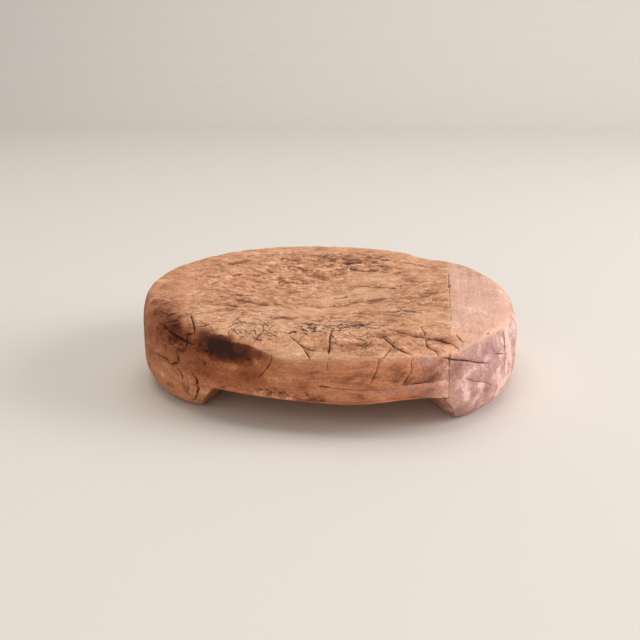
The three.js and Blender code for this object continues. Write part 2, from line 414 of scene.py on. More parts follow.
# rim crease: the height that it keeps at places along x, the slopes beside it, and the nick in the back rim
crease = {
    "x": (-60.0, -43.0, -33.0, -19.0, -7.0, 12.0, 41.0, 64.0, 82.0, 94.0, 106.0, 115.0, 124.0, 130.0),
    "z": (58.0, 57.0, 54.0, 50.5, 51.3, 53.5, 54.8, 53.7, 52.0, 53.5, 55.0, 56.6, 55.0, 54.3),
    "sway": 0.8, "slopeWidth": 27.0, "slopeShare": 0.75, "lowZ": 33.0, "lowInset": 0.5, "highest": 0.98,
    "left": (-76.0, -46.0), "right": (139.0, 124.0), "front": (0.0, -38.0), "footZ": (20.0, 32.0),
    "nickX": (52.0, 66.0, 104.0), "nickY": (55.0, 85.0), "nickZ": (38.0, 60.0), "nickDepth": 2.4,
}


def creaseHeight(points):
    level = points * np.array([1.0, 1.0, 0.0])
    sway = crease["sway"] * latticeNoise(level, *grains["crease"])
    return np.interp(points[:, 0], crease["x"], crease["z"]) + sway


# rim facets: below the crease the section is drawn in to a straight line, above it pressed to an eased slope
def rimFacets(points):
    x, y, z = points.T
    px, py = x + outlineCentre[0], y + outlineCentre[1]
    t = np.arctan2(py / board["halfWidth"], px / board["halfLength"])
    outX, outY = hewnOutline(t, 0.0)
    reach = np.hypot(outX, outY)
    inset = (1.0 - np.hypot(px, py) / reach) * 0.5 * (board["halfLength"] + board["halfWidth"])
    crestInset, crestZ = rimCrest(t)
    shoulder = crestZ - board["crestRounding"]
    creaseZ = creaseHeight(points)
    lift = np.clip((creaseZ - shoulder) / board["crestRounding"], 0.0, crease["highest"])
    creaseInset = crestInset * (1.0 - np.sqrt(1.0 - lift ** 2))
    drop = np.clip((creaseZ - z) / (creaseZ - crease["lowZ"]), 0.0, 1.0)
    wanted = creaseInset + (crease["lowInset"] - creaseInset) * drop
    amount = easeStep(*crease["left"], x) * easeStep(*crease["right"], x)
    amount = amount * easeStep(*crease["front"], y) * easeStep(*crease["footZ"], z)
    cut = np.maximum(wanted - inset, 0.0) * amount * (z < creaseZ)
    factor = 1.0 - cut / np.maximum(np.hypot(px, py), 1.0)
    share = np.clip((inset - creaseInset) / crease["slopeWidth"], 0.0, 1.0)
    slopeZ = creaseZ + (shoulder + board["crestRounding"] - creaseZ) * (1.0 - (1.0 - share) ** 2)
    press = np.maximum(z - slopeZ, 0.0) * crease["slopeShare"] * amount * (z > creaseZ) * (share < 1.0)
    start, deepest, stop = crease["nickX"]
    nick = easeStep(start, deepest, x) * easeStep(stop, deepest, x) * easeStep(*crease["nickY"], y)
    press += crease["nickDepth"] * nick * easeStep(*crease["nickZ"], z)
    return np.column_stack([px * factor - outlineCentre[0], py * factor - outlineCentre[1], z - press])


# limits for telling which points lie inside the joint, on a seam face, on the ledge or under a foot, in
# millimetres, and the least lengths of a normal that count
slack = {"bore": 0.05, "boreHigh": 0.1, "tongue": 0.005, "groove": 0.6, "grooveHalf": 46.0, "grooveEnd": 1.0,
         "ledge": 0.7, "tongueEdge": 0.5, "seam": 0.005, "seamLow": 0.1, "turned": 0.003,
         "underside": 0.4, "overFoot": 1.0, "flatNormal": 0.002, "footSide": 0.2, "footX": 40.0}


def between(v, low, high, margin):
    return (v > low - margin) & (v < high + margin)


# points inside the bores, the tongues or the groove, which stay as they are
def hiddenPoints(name, sides, points):
    x, y, z = points.T
    hidden = np.zeros(len(points), dtype=bool)
    for end in sides:
        reach = end["sign"] * x - end["seam"]
        for spot in pegSpots(end):
            inBore = np.hypot(x - spot[0], y - spot[1]) < joint["boreRadius"] + slack["bore"]
            hidden |= inBore & (z < joint["boreHigh"] + slack["boreHigh"])
        if name == "slab":
            hidden |= reach > slack["tongue"]
        else:
            inGroove = between(z, joint["tongueLow"], joint["tongueHigh"], slack["groove"])
            inGroove &= np.abs(y) < slack["grooveHalf"]
            hidden |= inGroove & (reach < joint["tongueLength"] + slack["grooveEnd"])
            hidden |= (reach < 0.0) & (z > board["footHeight"] - slack["ledge"])
    return hidden


# points of each seam face: those on its edge and those inside it
def seamPoints(sides, points, triangles, hidden):
    x, y, z = points.T
    facing = vertexNormals(points, triangles)
    turned = np.hypot(facing[:, 1], facing[:, 2]) > slack["turned"]
    edges = {}
    for end in sides:
        inTongue = between(z, joint["tongueLow"], joint["tongueHigh"], slack["tongueEdge"])
        inTongue &= np.abs(y) < end["tongueHalf"] + slack["tongueEdge"]
        onSeam = np.abs(end["sign"] * x - end["seam"]) < end["gap"] + slack["seam"]
        onSeam &= ~inTongue & ~hidden & (z > board["footHeight"] - slack["seamLow"])
        edges[end["sign"]] = (np.flatnonzero(onSeam & turned), np.flatnonzero(onSeam & ~turned))
    return edges


grids = {"slab": slabGrid(), "leftCleat": cleatGrid(ends["left"]), "rightCleat": cleatGrid(ends["right"])}
shapes = {}
for name, grid in grids.items():
    sides = [end for endName, end in ends.items() if name in ("slab", endName + "Cleat")]
    prisms = [bore for end in sides for bore in boreGrids(end)]
    if name != "slab":
        prisms.append(grooveGrid(sides[0]))
    points, triangles = cutAway(name, *weldGrid(grid), prisms)
    hidden = hiddenPoints(name, sides, points)
    edges = seamPoints(sides, points, triangles, hidden)
    points = np.where(hidden[:, None], points, rimFacets(points))
    shapes[name] = (points, triangles, hidden, edges)
    print("shaped", name, len(points), "points", len(triangles), "triangles")


# the photograph's camera: its place and its right, up and forward directions
def photoCamera():
    turn, rise = math.radians(shot["azimuth"]), math.radians(shot["elevation"])
    right = np.array([math.cos(turn), math.sin(turn), 0.0])
    forward = np.array([-math.cos(rise) * math.sin(turn), math.cos(rise) * math.cos(turn), -math.sin(rise)])
    up = np.cross(right, forward)
    eye = np.array(shot["aim"]) - shot["distance"] * forward
    pan, tilt = [math.atan((pixel - shot["middle"]) / shot["focal"]) for pixel in shot["aimPixel"]]
    panned = forward * math.cos(pan) - right * math.sin(pan)
    right = right * math.cos(pan) + forward * math.sin(pan)
    forward = panned * math.cos(tilt) + up * math.sin(tilt)
    up = up * math.cos(tilt) - panned * math.sin(tilt)
    return eye, right, up, forward


eye, photoRight, photoUp, photoForward = photoCamera()


# pixels of the photograph's frame where points fall
def photoPixels(points):
    ray = points - eye
    scale = shot["focal"] / (ray @ photoForward)
    return shot["middle"] + scale * (ray @ photoRight), shot["middle"] - scale * (ray @ photoUp)


shapeTrees = [BVHTree.FromPolygons(shape[0].tolist(), shape[1].tolist()) for shape in shapes.values()]


# the point of the board that a pixel shows, and the way its surface faces
def boardHit(u, v):
    ray = photoForward + photoRight * (u - shot["middle"]) / shot["focal"]
    ray = Vector(ray - photoUp * (v - shot["middle"]) / shot["focal"]).normalized()
    hits = [tree.ray_cast(Vector(eye), ray) for tree in shapeTrees]
    hits = [hit for hit in hits if hit[0] is not None]
    nearest = min(hits, key=lambda hit: hit[3], default=None)
    return None if nearest is None else np.array([nearest[0], nearest[1]])


# how lines are walked: step and wander in pixels, limits of the stretch, counts of points on the side and
# the top, their wander as a share of the height or in millimetres, and the spacing of their noise
walk = {"step": 1.1, "fewest": 4, "wander": 0.45, "stretch": (0.8, 3.6), "sidePoints": 90, "sideLength": 90.0,
        "sideWander": 0.04, "seamPoints": 120, "seamWander": 0.25, "photoRow": 7.0, "row": 9.0}


# places for the noise of one line: its length along a row of its own
def noiseRow(along, row):
    return np.column_stack([along, np.full_like(along, row), np.zeros_like(along)])


# a line on the board: the pixel polyline walked in even steps, softened and set wandering a little,
# with the stretch that makes a width look in the photograph as it would if seen face on
def photoLine(pixels, seed):
    corners = np.array(pixels, dtype=float)
    along = np.concatenate([[0.0], np.cumsum(np.hypot(*np.diff(corners, axis=0).T))])
    s = np.linspace(0.0, along[-1], max(walk["fewest"], int(along[-1] / walk["step"])))
    uv = np.column_stack([np.interp(s, along, corners[:, k]) for k in (0, 1)])
    uv[1:-1] = 0.25 * uv[:-2] + 0.5 * uv[1:-1] + 0.25 * uv[2:]
    row = noiseRow(s, walk["photoRow"] * seed)
    for k, key in enumerate(("lineAcross", "lineUp")):
        uv[:, k] += walk["wander"] * latticeNoise(row, *grains[key])
    hits = [boardHit(u, v) for u, v in uv]
    hits = np.array([hit for hit in hits if hit is not None])
    points, facing = hits[:, 0], hits[:, 1]
    sideways = np.cross(facing, np.gradient(points, axis=0))
    sideways /= np.maximum(np.linalg.norm(sideways, axis=1, keepdims=True), 1e-9)
    ahead, behind = photoPixels(points + 0.5 * sideways), photoPixels(points - 0.5 * sideways)
    seen = np.hypot(ahead[0] - behind[0], ahead[1] - behind[1])
    return points, np.clip(shot["pixelsPerMm"] / np.maximum(seen, 0.01), *walk["stretch"])


# cracks that the photograph shows: half width and depth in millimetres, then the pixels they pass
photoCracks = {
    "longDiagonal": (0.52, 2.6, [(388.3, 326.7), (410, 333.3), (436.7, 338.3), (451.7, 342.5), (458.3, 347.5),
                                 (460, 355)]),
    "secondDiagonal": (0.52, 2.4, [(371.7, 329.2), (383.3, 335), (393.3, 344.2), (403.3, 350), (415.8, 355)]),
    "cornerStart": (0.4, 1.6, [(425, 336.7), (428.3, 346.7), (436.7, 350.8), (440.8, 358.3)]),
    "cornerRadial": (0.42, 2.6, [(440, 357.5), (453.3, 360), (466.7, 360.8), (480, 362.5), (494.2, 363.3)]),
    "bowLeft": (0.26, 0.8, [(373.3, 355), (379.2, 361.7), (376.7, 371.7), (371.7, 381.7), (368.3, 388.3)]),
    "bowLink": (0.24, 0.7, [(393.3, 345), (386.7, 353.3), (379.2, 361.7)]),
    "bowRight": (0.26, 0.8, [(411.7, 356.7), (412.5, 370), (408.3, 378.3), (401.7, 390)]),
    "wavyFoot": (0.24, 0.9, [(463.3, 377.5), (475, 381.7), (486.7, 382.5), (496.7, 388.3)]),
    "squareUpright": (0.36, 1.4, [(505.3, 330), (505.8, 342), (506.3, 353.3)]),
    "squareFoot": (0.3, 1.2, [(494.2, 353.7), (506.3, 353.7)]),
    "squareTail": (0.2, 0.5, [(506.3, 356.7), (505, 376.7)]),
    "shortDark": (0.45, 1.6, [(455.8, 332.5), (464.2, 342.5)]),
    "shortUpper": (0.35, 1.0, [(420, 325), (426.7, 333.3)]),
    "shortRight": (0.4, 1.0, [(486.7, 333.3), (490, 331.7)]),
    "upright": (0.6, 2.2, [(331.7, 326.7), (330, 340), (328.3, 355)]),
    "uprightFoot": (0.35, 1.2, [(326.7, 362.5), (328, 371.7)]),
    "dishLine": (0.45, 1.6, [(306, 305), (320, 305), (341.7, 304.2), (351.7, 301.7), (382, 298.5)]),
    "dishPlate": (0.35, 1.0, [(345, 291.7), (356.7, 285), (386.7, 286.7)]),
    "backLine": (0.4, 1.2, [(394, 258), (423, 265), (449, 269.7)]),
    "lowLine": (0.16, 0.5, [(320, 388.3), (355, 390.8), (391.7, 391.7)]),
    "longBranch": (0.3, 1.0, [(421, 327), (425, 331), (424, 336)]),
    "stepLine": (0.22, 0.6, [(404, 386), (420, 384), (443, 381.5)]),
    "speckLine": (0.4, 1.0, [(337, 327), (347, 324.5), (358, 325), (371, 321.5)]),
    "speckCurl": (0.35, 0.8, [(322, 322), (326, 326), (333, 326.5)]),
    "speckRing": (0.3, 0.8, [(297, 322), (304, 321), (312, 324), (316, 328)]),
    "backPlate": (0.4, 1.2, [(366, 285.5), (382, 285.8), (398, 287)]),
    "rightBlack": (0.5, 1.2, [(399, 308.5), (406, 308), (411, 309.5), (424, 313)]),
    "cutLeftA": (0.3, 0.6, [(197, 318), (206, 323), (214, 330)]),
    "cutLeftB": (0.3, 0.6, [(231, 322), (238, 317), (246, 312.5)]),
    "cutLeftC": (0.3, 0.6, [(226, 331), (236, 326), (247, 319.5)]),
    "cutMiddle": (0.28, 0.6, [(262.5, 331), (263, 325), (265, 320)]),
    "cutRight": (0.3, 0.6, [(375, 331), (382, 334.5), (389, 336)]),
    "cutRightLow": (0.3, 0.7, [(334, 337.5), (341, 336.5), (346, 337.5)]),
    "leftDash": (0.45, 1.0, [(190, 293.5), (196, 292), (202, 290)]),
    "leftStreak": (0.35, 0.8, [(158, 310), (166, 314), (173, 313), (180, 309)]),
    "leftStreakLow": (0.35, 0.8, [(165, 327), (172, 326), (179, 323)]),
    "leftRing": (0.35, 0.9, [(161, 338), (166, 343), (172, 345), (177, 342)]),
    "leftCurl": (0.3, 0.8, [(186, 352), (180, 351), (176, 348)]),
    "leftGrain": (0.22, 0.5, [(150, 353), (158, 355), (166, 361)]),
    "footGrain": (0.22, 0.5, [(183, 374), (187, 381), (188, 389), (184, 397)]),
    "leftUpper": (0.5, 1.4, [(157.2, 302.8), (173.3, 300)]),
    "leftBar": (0.45, 1.4, [(162.2, 318.3), (175.6, 310.6)]),
    "leftBarLow": (0.35, 1.0, [(166.7, 322.2), (181.1, 319.4)]),
    "leftLong": (0.5, 2.2, [(155.6, 320), (168.9, 332.2), (177.8, 338.3), (187.8, 343.3), (197.8, 346.1)]),
    "ringArc": (0.6, 1.4, [(167.8, 336.7), (169.4, 340.6), (168.3, 345.6)]),
    "ringArcInner": (0.5, 1.2, [(173.3, 344.4), (174.4, 340), (176.7, 337.8)]),
    "seamCrack": (0.5, 2.0, [(190, 310), (191.7, 316.7), (193.3, 324.4), (193.9, 334.4)]),
    "seamBarLeft": (0.4, 1.0, [(184.4, 312.8), (191.1, 312.8)]),
    "seamBarRight": (0.4, 1.0, [(193.3, 312.8), (203.9, 311.1)]),
    "seamFoot": (0.45, 1.4, [(184.4, 335.6), (187.8, 333.9), (193.9, 333.3)]),
    "seamHook": (0.6, 1.6, [(185.6, 336.7), (187.2, 341.1), (184.4, 347.8)]),
    "leftLow": (0.4, 1.4, [(152.2, 352.2), (163.9, 358.3), (169.4, 363.3), (170, 365.6)]),
    "leftLowBar": (0.7, 1.8, [(168.9, 365), (177.8, 362.2)]),
    "leftLowUp": (0.35, 1.0, [(176.7, 355.6), (178.3, 362.2)]),
    "shortArc": (0.4, 1.4, [(175.6, 367.8), (180, 373.3), (181.7, 380.6)]),
    "footArc": (0.6, 2.4, [(191.1, 372.8), (195.6, 380), (196.7, 390), (194.4, 400.6), (190.6, 402.8)]),
    "knotHook": (0.5, 1.6, [(211.1, 348.9), (210, 355), (206.7, 355.6)]),
    "knotBar": (0.4, 1.4, [(200, 349.4), (208.9, 353.3)]),
    "knotDash": (0.4, 1.0, [(202.2, 365.6), (205.6, 361.7)]),
    "knotDashLow": (0.35, 0.8, [(201.7, 375), (203.9, 372.2)]),
    "knotTail": (0.35, 1.0, [(245, 358.9), (251.1, 360.6)]),
    "frontArc": (0.35, 1.2, [(270, 353.3), (271.7, 359.2), (266.7, 368.3), (260, 375.8), (255, 380)]),
    "splayLong": (0.4, 1.6, [(288.3, 333.3), (300, 343.3), (310, 349.2), (318.3, 350)]),
    "splayBranch": (0.35, 1.2, [(300, 343.3), (306.7, 353.3), (310, 359.2), (305, 359.2)]),
    "knifeLong": (0.35, 0.6, [(195.6, 326.7), (211.1, 323.3)]),
    "knifeShort": (0.35, 0.6, [(216.7, 336.1), (223.9, 334.4)]),
    "dishCut": (0.4, 0.8, [(270, 318), (288, 315)]),
    "lowMark": (0.4, 0.8, [(318, 387), (330, 388.5)]),
    "edgeNickA": (0.4, 1.4, [(219, 388.5), (225, 387)]),
    "edgeNickB": (0.25, 1.2, [(244, 389.5), (252, 393)]),
    "edgeNickC": (0.25, 1.2, [(256, 389), (265, 391.5)]),
    "edgeNickD": (0.3, 1.4, [(263, 388), (271, 393), (268, 398)]),
    "edgeNickE": (0.25, 1.2, [(275, 390), (282, 396)]),
    "edgeNickF": (0.25, 1.2, [(282, 391), (290, 398)]),
    "edgeNickG": (0.22, 1.0, [(303, 392), (311, 399)]),
}

# gouges that the photograph shows: half width in millimetres, amount, then the pixels they pass
photoDents = {
    "backFirst": (1.5, 0.7, [(323, 254.5), (334, 257.5)]),
    "backSecond": (1.4, 0.75, [(340, 260.5), (350, 261.5), (358, 261.5)]),
    "backThird": (1.5, 0.65, [(368, 255.5), (382, 257.5), (396, 260)]),
    "backFourth": (1.3, 0.7, [(394, 271.5), (399, 270)]),
    "backFifth": (1.2, 0.7, [(352, 268), (366, 270), (376, 268.5)]),
    "backSixth": (1.0, 0.6, [(378, 264), (392, 266.5)]),
    "deepSpot": (2.0, 0.6, [(299, 266), (304, 268.5)]),
    "greenSpot": (2.6, 0.6, [(279, 277), (287, 281)]),
    "spotLeft": (1.8, 0.6, [(268, 267), (272, 270)]),
    "softLeft": (3.0, 0.45, [(250, 266), (262, 272)]),
    "softRight": (3.2, 0.45, [(314, 272), (323, 277)]),
    "softMiddle": (3.0, 0.4, [(300, 277), (310, 281)]),
    "softFront": (3.0, 0.6, [(245, 299), (260, 302)]),
    "softUpper": (2.6, 0.55, [(232, 262), (244, 260)]),
    "dashA": (1.3, 0.9, [(222, 297), (226, 298.5)]),
    "dashB": (1.1, 0.9, [(229, 304), (236, 304.5)]),
    "dashC": (1.1, 0.8, [(240, 292.5), (250, 294)]),
    "dashD": (1.2, 0.7, [(233, 273.5), (238, 273)]),
    "dashE": (1.2, 0.9, [(371, 298.5), (380, 297.5)]),
    "dashF": (1.2, 0.9, [(289, 331), (294, 330)]),
    "dashG": (1.0, 0.7, [(268, 321), (273, 320)]),
    "dashH": (1.4, 0.6, [(254, 337), (260, 339)]),
    "dashI": (1.0, 0.7, [(336, 297), (345, 296)]),
    "dashJ": (1.1, 0.6, [(212, 281), (219, 279.5)]),
    "dashK": (1.1, 0.6, [(203, 272), (211, 271)]),
    "dashL": (1.2, 0.6, [(289, 258), (298, 259.5)]),
    "dashM": (1.0, 0.6, [(425, 291.5), (437, 291)]),
    "dashN": (1.0, 0.6, [(410, 279), (421, 280)]),
}

# stained, burnt, rough or paler places: layer, amount, middle, half sizes and tilt in pixels and degrees
photoPatches = {
    "knotCore": ("char", 1.0, (224, 349), (30, 13), 20),
    "knotSpot": ("char", 0.7, (206, 345.5), (6, 5), 20),
    "seamSpot": ("char", 0.4, (449, 284.5), (2.6, 1.6), 0),
    "knotHalo": ("halo", 1.0, (228, 350), (38, 17), 20),
    "knotTailHalo": ("halo", 0.8, (254, 355), (18, 7), 8),
    "knotUpHalo": ("halo", 0.6, (203, 335), (11, 9), 0),
    "leftEdge": ("stainAndShade", 0.9, (157, 301), (8, 5), -25),
    "leftUpper": ("stainAndShade", 0.62, (166, 316), (17, 12), 25),
    "leftRim": ("stainAndShade", 0.68, (174, 332), (20, 14), 30),
    "leftSeam": ("stainAndShade", 0.6, (183, 344), (14, 9), 0),
    "leftLowStain": ("stainAndShade", 0.5, (201, 367), (9, 12), -30),
    "leftWarmth": ("halo", 0.7, (170, 325), (30, 30), 30),
    "slopeWarmth": ("halo", 0.4, (410, 342), (46, 13), 12),
    "cornerWarmth": ("halo", 0.55, (447, 339), (13, 10), 10),
    "seamWarmth": ("halo", 0.4, (456, 368), (9, 18), 0),
    "endWarmth": ("halo", 0.62, (436, 368), (20, 18), 0),
    "frontWarmth": ("halo", 0.45, (330, 346), (44, 8), 0),
    "bowStain": ("stainAndShade", 0.5, (398, 372), (13, 15), 20),
    "frontStain": ("stainAndShade", 0.45, (345, 381), (30, 7), 3),
    "shoulderStain": ("stainAndShade", 0.55, (436, 339), (26, 7), 14),
    "bowTop": ("stainAndShade", 0.5, (392, 352), (10, 6), 20),
    "backStain": ("stainAndShade", 0.55, (350, 257), (60, 7), 2),
    "plate": ("mauve", 0.7, (429, 361), (12, 11), 0),
    "rimSmudge": ("mauve", 0.5, (467, 344), (15, 5), -24),
    "lowBand": ("mauve", 0.45, (408, 391), (36, 5), -4),
    "blackSpecks": ("specks", 1.0, (352, 325), (36, 5.5), -6),
    "leftOfSpecks": ("specks", 1.0, (308, 327), (22, 8), 0),
    "blackSpecksBack": ("specks", 0.8, (405, 309), (20, 4), 8),
    "leftSpecks": ("specks", 0.65, (255, 333), (36, 11), 10),
    "frontCuts": ("cuts", 1.0, (248, 322), (60, 22), 6),
    "middleCuts": ("cuts", 1.0, (345, 331), (80, 18), 2),
    "leftCuts": ("cuts", 0.6, (215, 300), (40, 12), -10),
    "seamFlakes": ("flakes", 1.0, (456, 325), (7, 14), 0),
    "dishFlakes": ("flakes", 0.8, (305, 284), (22, 8), 0),
    "rightFlakes": ("flakes", 0.8, (420, 298), (24, 8), 0),
    "rimPlate": ("plate", 0.8, (255, 324), (48, 12), 6),
    "speckPlate": ("plate", 0.7, (345, 323), (44, 7), -4),
    "rightPlate": ("plate", 1.0, (371, 292), (24, 7), 0),
    "frontPlate": ("plate", 1.0, (336, 298.5), (26, 4), -4),
    "backPlates": ("plate", 0.7, (375, 277), (28, 6), 0),
    "lipPlate": ("plate", 0.7, (300, 311), (60, 4), -2),
    "edgeSpecks": ("specks", 0.5, (270, 391), (44, 6), 10),
    "tornEdge": ("torn", 1.0, (282, 394), (56, 9), 10),
    "backChop": ("chop", 1.0, (330, 263), (80, 16), 2),
    "dishChop": ("chop", 0.9, (270, 281), (70, 18), 0),
    "rightChop": ("chop", 0.34, (405, 290), (46, 26), 0),
    "leftChop": ("chop", 0.6, (225, 290), (50, 20), -6),
}


# how strongly a layer or a noise counts: a share, or a least share and what is added to it
amounts = {
    "crackWidth": (0.8, 0.35), "seamBreak": (0.3, 0.7), "markDepth": (0.35, 0.65), "gouge": (0.35, 0.65),
    "tear": (0.45, 0.55), "fine": (0.12, 0.88), "knot": (0.6, 0.4), "lift": (0.3, 0.7),
    "pegDents": (0.98, 0.02), "chop": 0.42, "chopInDish": 0.3, "chopOnCleat": 0.92, "chopOnPlate": 0.65,
    # among these, creaseTone, deepEnd and deepLow shape the painted shade of the side faces, warmTop the warm
    # tone on the top's left end, the foot amount the painted shade of the feet, the slab ridge amount the
    # painted highlight along the crease, and planed and pinkFront the painted window light
    "tearChop": 1.15, "strokeChop": 0.35, "creaseTone": 0.6, "warmTop": 0.45,
    "deepEnd": 0.35, "deepLow": 0.95, "slabRidgeHighlight": 0.35, "footShade": 0.45, "planed": 0.85, "pinkFront": 0.15,
}


def partly(key, v):
    least, added = amounts[key]
    return least + added * v


# patches: how far they reach on the board, in millimetres for a pixel of half size, and their ragged edge
patchForm = {"reach": 2.6, "upright": 2.4, "ragged": 0.35, "fade": (0.35, 1.3)}


# mask of a patch: 1 inside the tilted ellipse, fading with a ragged edge, and only near the point it shows
def patchMask(patch, points, pixels, ragged):
    _, amount, (u, v), (halfU, halfV), tilt = patch
    turn = math.radians(tilt)
    du, dv = pixels[0] - u, pixels[1] - v
    a = (du * math.cos(turn) + dv * math.sin(turn)) / halfU
    b = (dv * math.cos(turn) - du * math.sin(turn)) / halfV
    reach = patchForm["reach"] * max(halfU, patchForm["upright"] * halfV)
    near = np.linalg.norm(points - boardHit(u, v)[0], axis=1) < reach
    return amount * near * (1.0 - easeStep(*patchForm["fade"], np.hypot(a, b) + patchForm["ragged"] * ragged))


# cracks on the side, out of the photograph's view: half width, depth, turns in degrees, shares of the height
sideCracks = {
    "backLong": (0.45, 1.8, (62, 118), (0.30, 0.36)),
    "backUpper": (0.4, 1.4, (96, 134), (0.62, 0.55)),
    "backLow": (0.4, 1.2, (48, 80), (0.16, 0.12)),
    "backRim": (0.4, 1.4, (70, 100), (0.86, 0.78)),
    "rightCheck": (0.45, 1.8, (12, 31), (0.52, 0.40)),
    "rightCheckLow": (0.35, 1.2, (-8, 9), (0.26, 0.30)),
    "leftCheck": (0.45, 1.8, (158, 186), (0.50, 0.58)),
    "leftCheckLow": (0.4, 1.2, (172, 204), (0.22, 0.16)),
}


# a line on the side: turn and height share walked together, wandering a little up and down
def sideLine(turns, shares, seed):
    s = np.linspace(0.0, 1.0, walk["sidePoints"])
    row = noiseRow(walk["sideLength"] * s, walk["row"] * seed)
    wander = walk["sideWander"] * roughNoise(row, *grains["sideLine"])
    share = np.clip(shares[0] + (shares[1] - shares[0]) * s + wander, 0.0, 1.0)
    turn = np.radians(turns[0] + (turns[1] - turns[0]) * s)
    return np.array([upperSide(t, k, board["footHeight"]) for t, k in zip(turn, share)], dtype=float)


# seam lines on the top: half width, depth, place along x and the ends along y, in millimetres
topSeams = {"rightSeam": (0.28, 0.6, 89.0, (-88.0, 94.0))}


# a seam line: straight along y on the top, wandering a little
def seamLine(x, reach, seed):
    y = np.linspace(*reach, walk["seamPoints"])
    sway = x + walk["seamWander"] * latticeNoise(noiseRow(y, walk["row"] * seed), *grains["seamSway"])
    return np.column_stack([sway, y, topHeight(sway, y)])


# cracks: widening, reach and valley margin in millimetres, powers of their taper and valley, breaks of a seam
crackForm = {"wider": 1.15, "reach": 3.0, "taper": 3.0, "valley": 1.1, "power": 1.4, "breaks": (-0.3, 0.3)}
crackLines = []
for seed, (half, depth, pixels) in enumerate(photoCracks.values()):
    line, stretch = photoLine(pixels, seed)
    crackLines.append((crackForm["wider"] * half * stretch, depth, line))
for seed, (half, depth, turns, shares) in enumerate(sideCracks.values()):
    line = sideLine(turns, shares, seed)
    crackLines.append((np.full(len(line), half), depth, line))
for seed, (half, depth, x, reach) in enumerate(topSeams.values()):
    line = seamLine(x, reach, seed)
    whole = easeStep(*crackForm["breaks"], latticeNoise(line, *grains["seamBreak"]))
    crackLines.append((half * partly("seamBreak", whole), depth, line))

# gouges: seed of the first, reach in millimetres and ragged edge
dentForm = {"seed": 100, "reach": 8.0, "ragged": 0.45, "fade": (0.3, 1.1)}
dentLines = []
for seed, (half, amount, pixels) in enumerate(photoDents.values()):
    line, stretch = photoLine(pixels, dentForm["seed"] + seed)
    dentLines.append((half * stretch, amount, line))
print("drew", len(crackLines), "cracks and", len(dentLines), "gouges")


# points close to a line: their places in the list, the way from it, its segment and share, and the distance
def nearLine(points, line, reach):
    low, high = line.min(axis=0) - reach, line.max(axis=0) + reach
    near = np.flatnonzero(np.all((points > low) & (points < high), axis=1))
    start, step = line[:-1], np.diff(line, axis=0)
    offset = points[near][:, None, :] - start[None]
    share = np.clip((offset * step).sum(-1) / np.maximum((step * step).sum(-1), 1e-9), 0.0, 1.0)
    away = offset - share[..., None] * step
    pick = np.linalg.norm(away, axis=-1).argmin(axis=1)
    row = np.arange(len(near))
    away = away[row, pick]
    return near, away, pick, share[row, pick], np.linalg.norm(away, axis=-1)


# crack layers: signed distance across the nearest crack, its half width and depth there, and the cut it makes
def crackLayers(points, normals):
    across = np.full(len(points), crackForm["reach"])
    width = np.zeros(len(points))
    tone = np.zeros(len(points))
    cut = np.zeros(len(points))
    for half, depth, line in crackLines:
        near, away, pick, share, distance = nearLine(points, line, crackForm["reach"])
        step = np.diff(line, axis=0)
        sign = np.sign(np.einsum("ij,ij->i", np.cross(step[pick], away), normals[near]))
        along = (pick + share) / len(step)
        taper = 1.0 - np.abs(2.0 * along - 1.0) ** crackForm["taper"]
        taper = taper * partly("crackWidth", latticeNoise(points[near], *grains["crackWidth"]))
        valley = np.clip(1.0 - distance / (crackForm["valley"] + half[pick]), 0.0, 1.0) ** crackForm["power"]
        cut[near] = np.maximum(cut[near], depth * taper * valley)
        closer = distance < np.abs(across[near])
        across[near[closer]] = (distance * np.where(sign < 0, -1.0, 1.0))[closer]
        width[near[closer]] = (half[pick] * taper)[closer]
        tone[near[closer]] = (depth * taper)[closer]
    return across, width, tone, cut


# gouges: full along the line and gone at a ragged half width
def dentLayer(points):
    dent = np.zeros(len(points))
    for half, amount, line in dentLines:
        near, _, pick, _, distance = nearLine(points, line, dentForm["reach"])
        ragged = distance / half[pick] + dentForm["ragged"] * roughNoise(points[near], *grains["dentEdge"])
        dent[near] = np.maximum(dent[near], amount * (1.0 - easeStep(*dentForm["fade"], ragged)))
    return dent


# numbers from 0 to 1 for whole-numbered cells, as many columns as asked for
def cellNumbers(cell, seed, columns):
    first, second, third = scramble["primes"]
    n = (cell[:, 0] * first) ^ (cell[:, 1] * second) ^ ((seed + scramble["cellSeed"]) * third)
    numbers = []
    for k in range(columns):
        n = scrambled(n, scramble["columnStep"] * k)
        numbers.append((n % scramble["levels"]) / scramble["levels"])
    return numbers


# marks cut into the top: cells, half lengths, half widths and depth in millimetres, turn spread in degrees
marks = {
    "gouge": {"cells": (17.0, 12.0), "length": (4.0, 9.5), "width": (3.0, 6.0), "spread": 25.0, "depth": 1.8},
    "tear": {"cells": (6.5, 5.0, 4.4), "length": (1.4, 4.6), "width": (0.7, 1.6), "spread": 22.0,
             "depth": 0.8},
    "stroke": {"cells": (17.0, 13.0, 10.0), "length": (4.0, 9.5), "width": (0.5, 0.8), "spread": 75.0,
               "depth": 0.55},
}
markForm = {"seedStep": 3, "sheetStep": 11, "power": 1.5, "warp": 1.6}


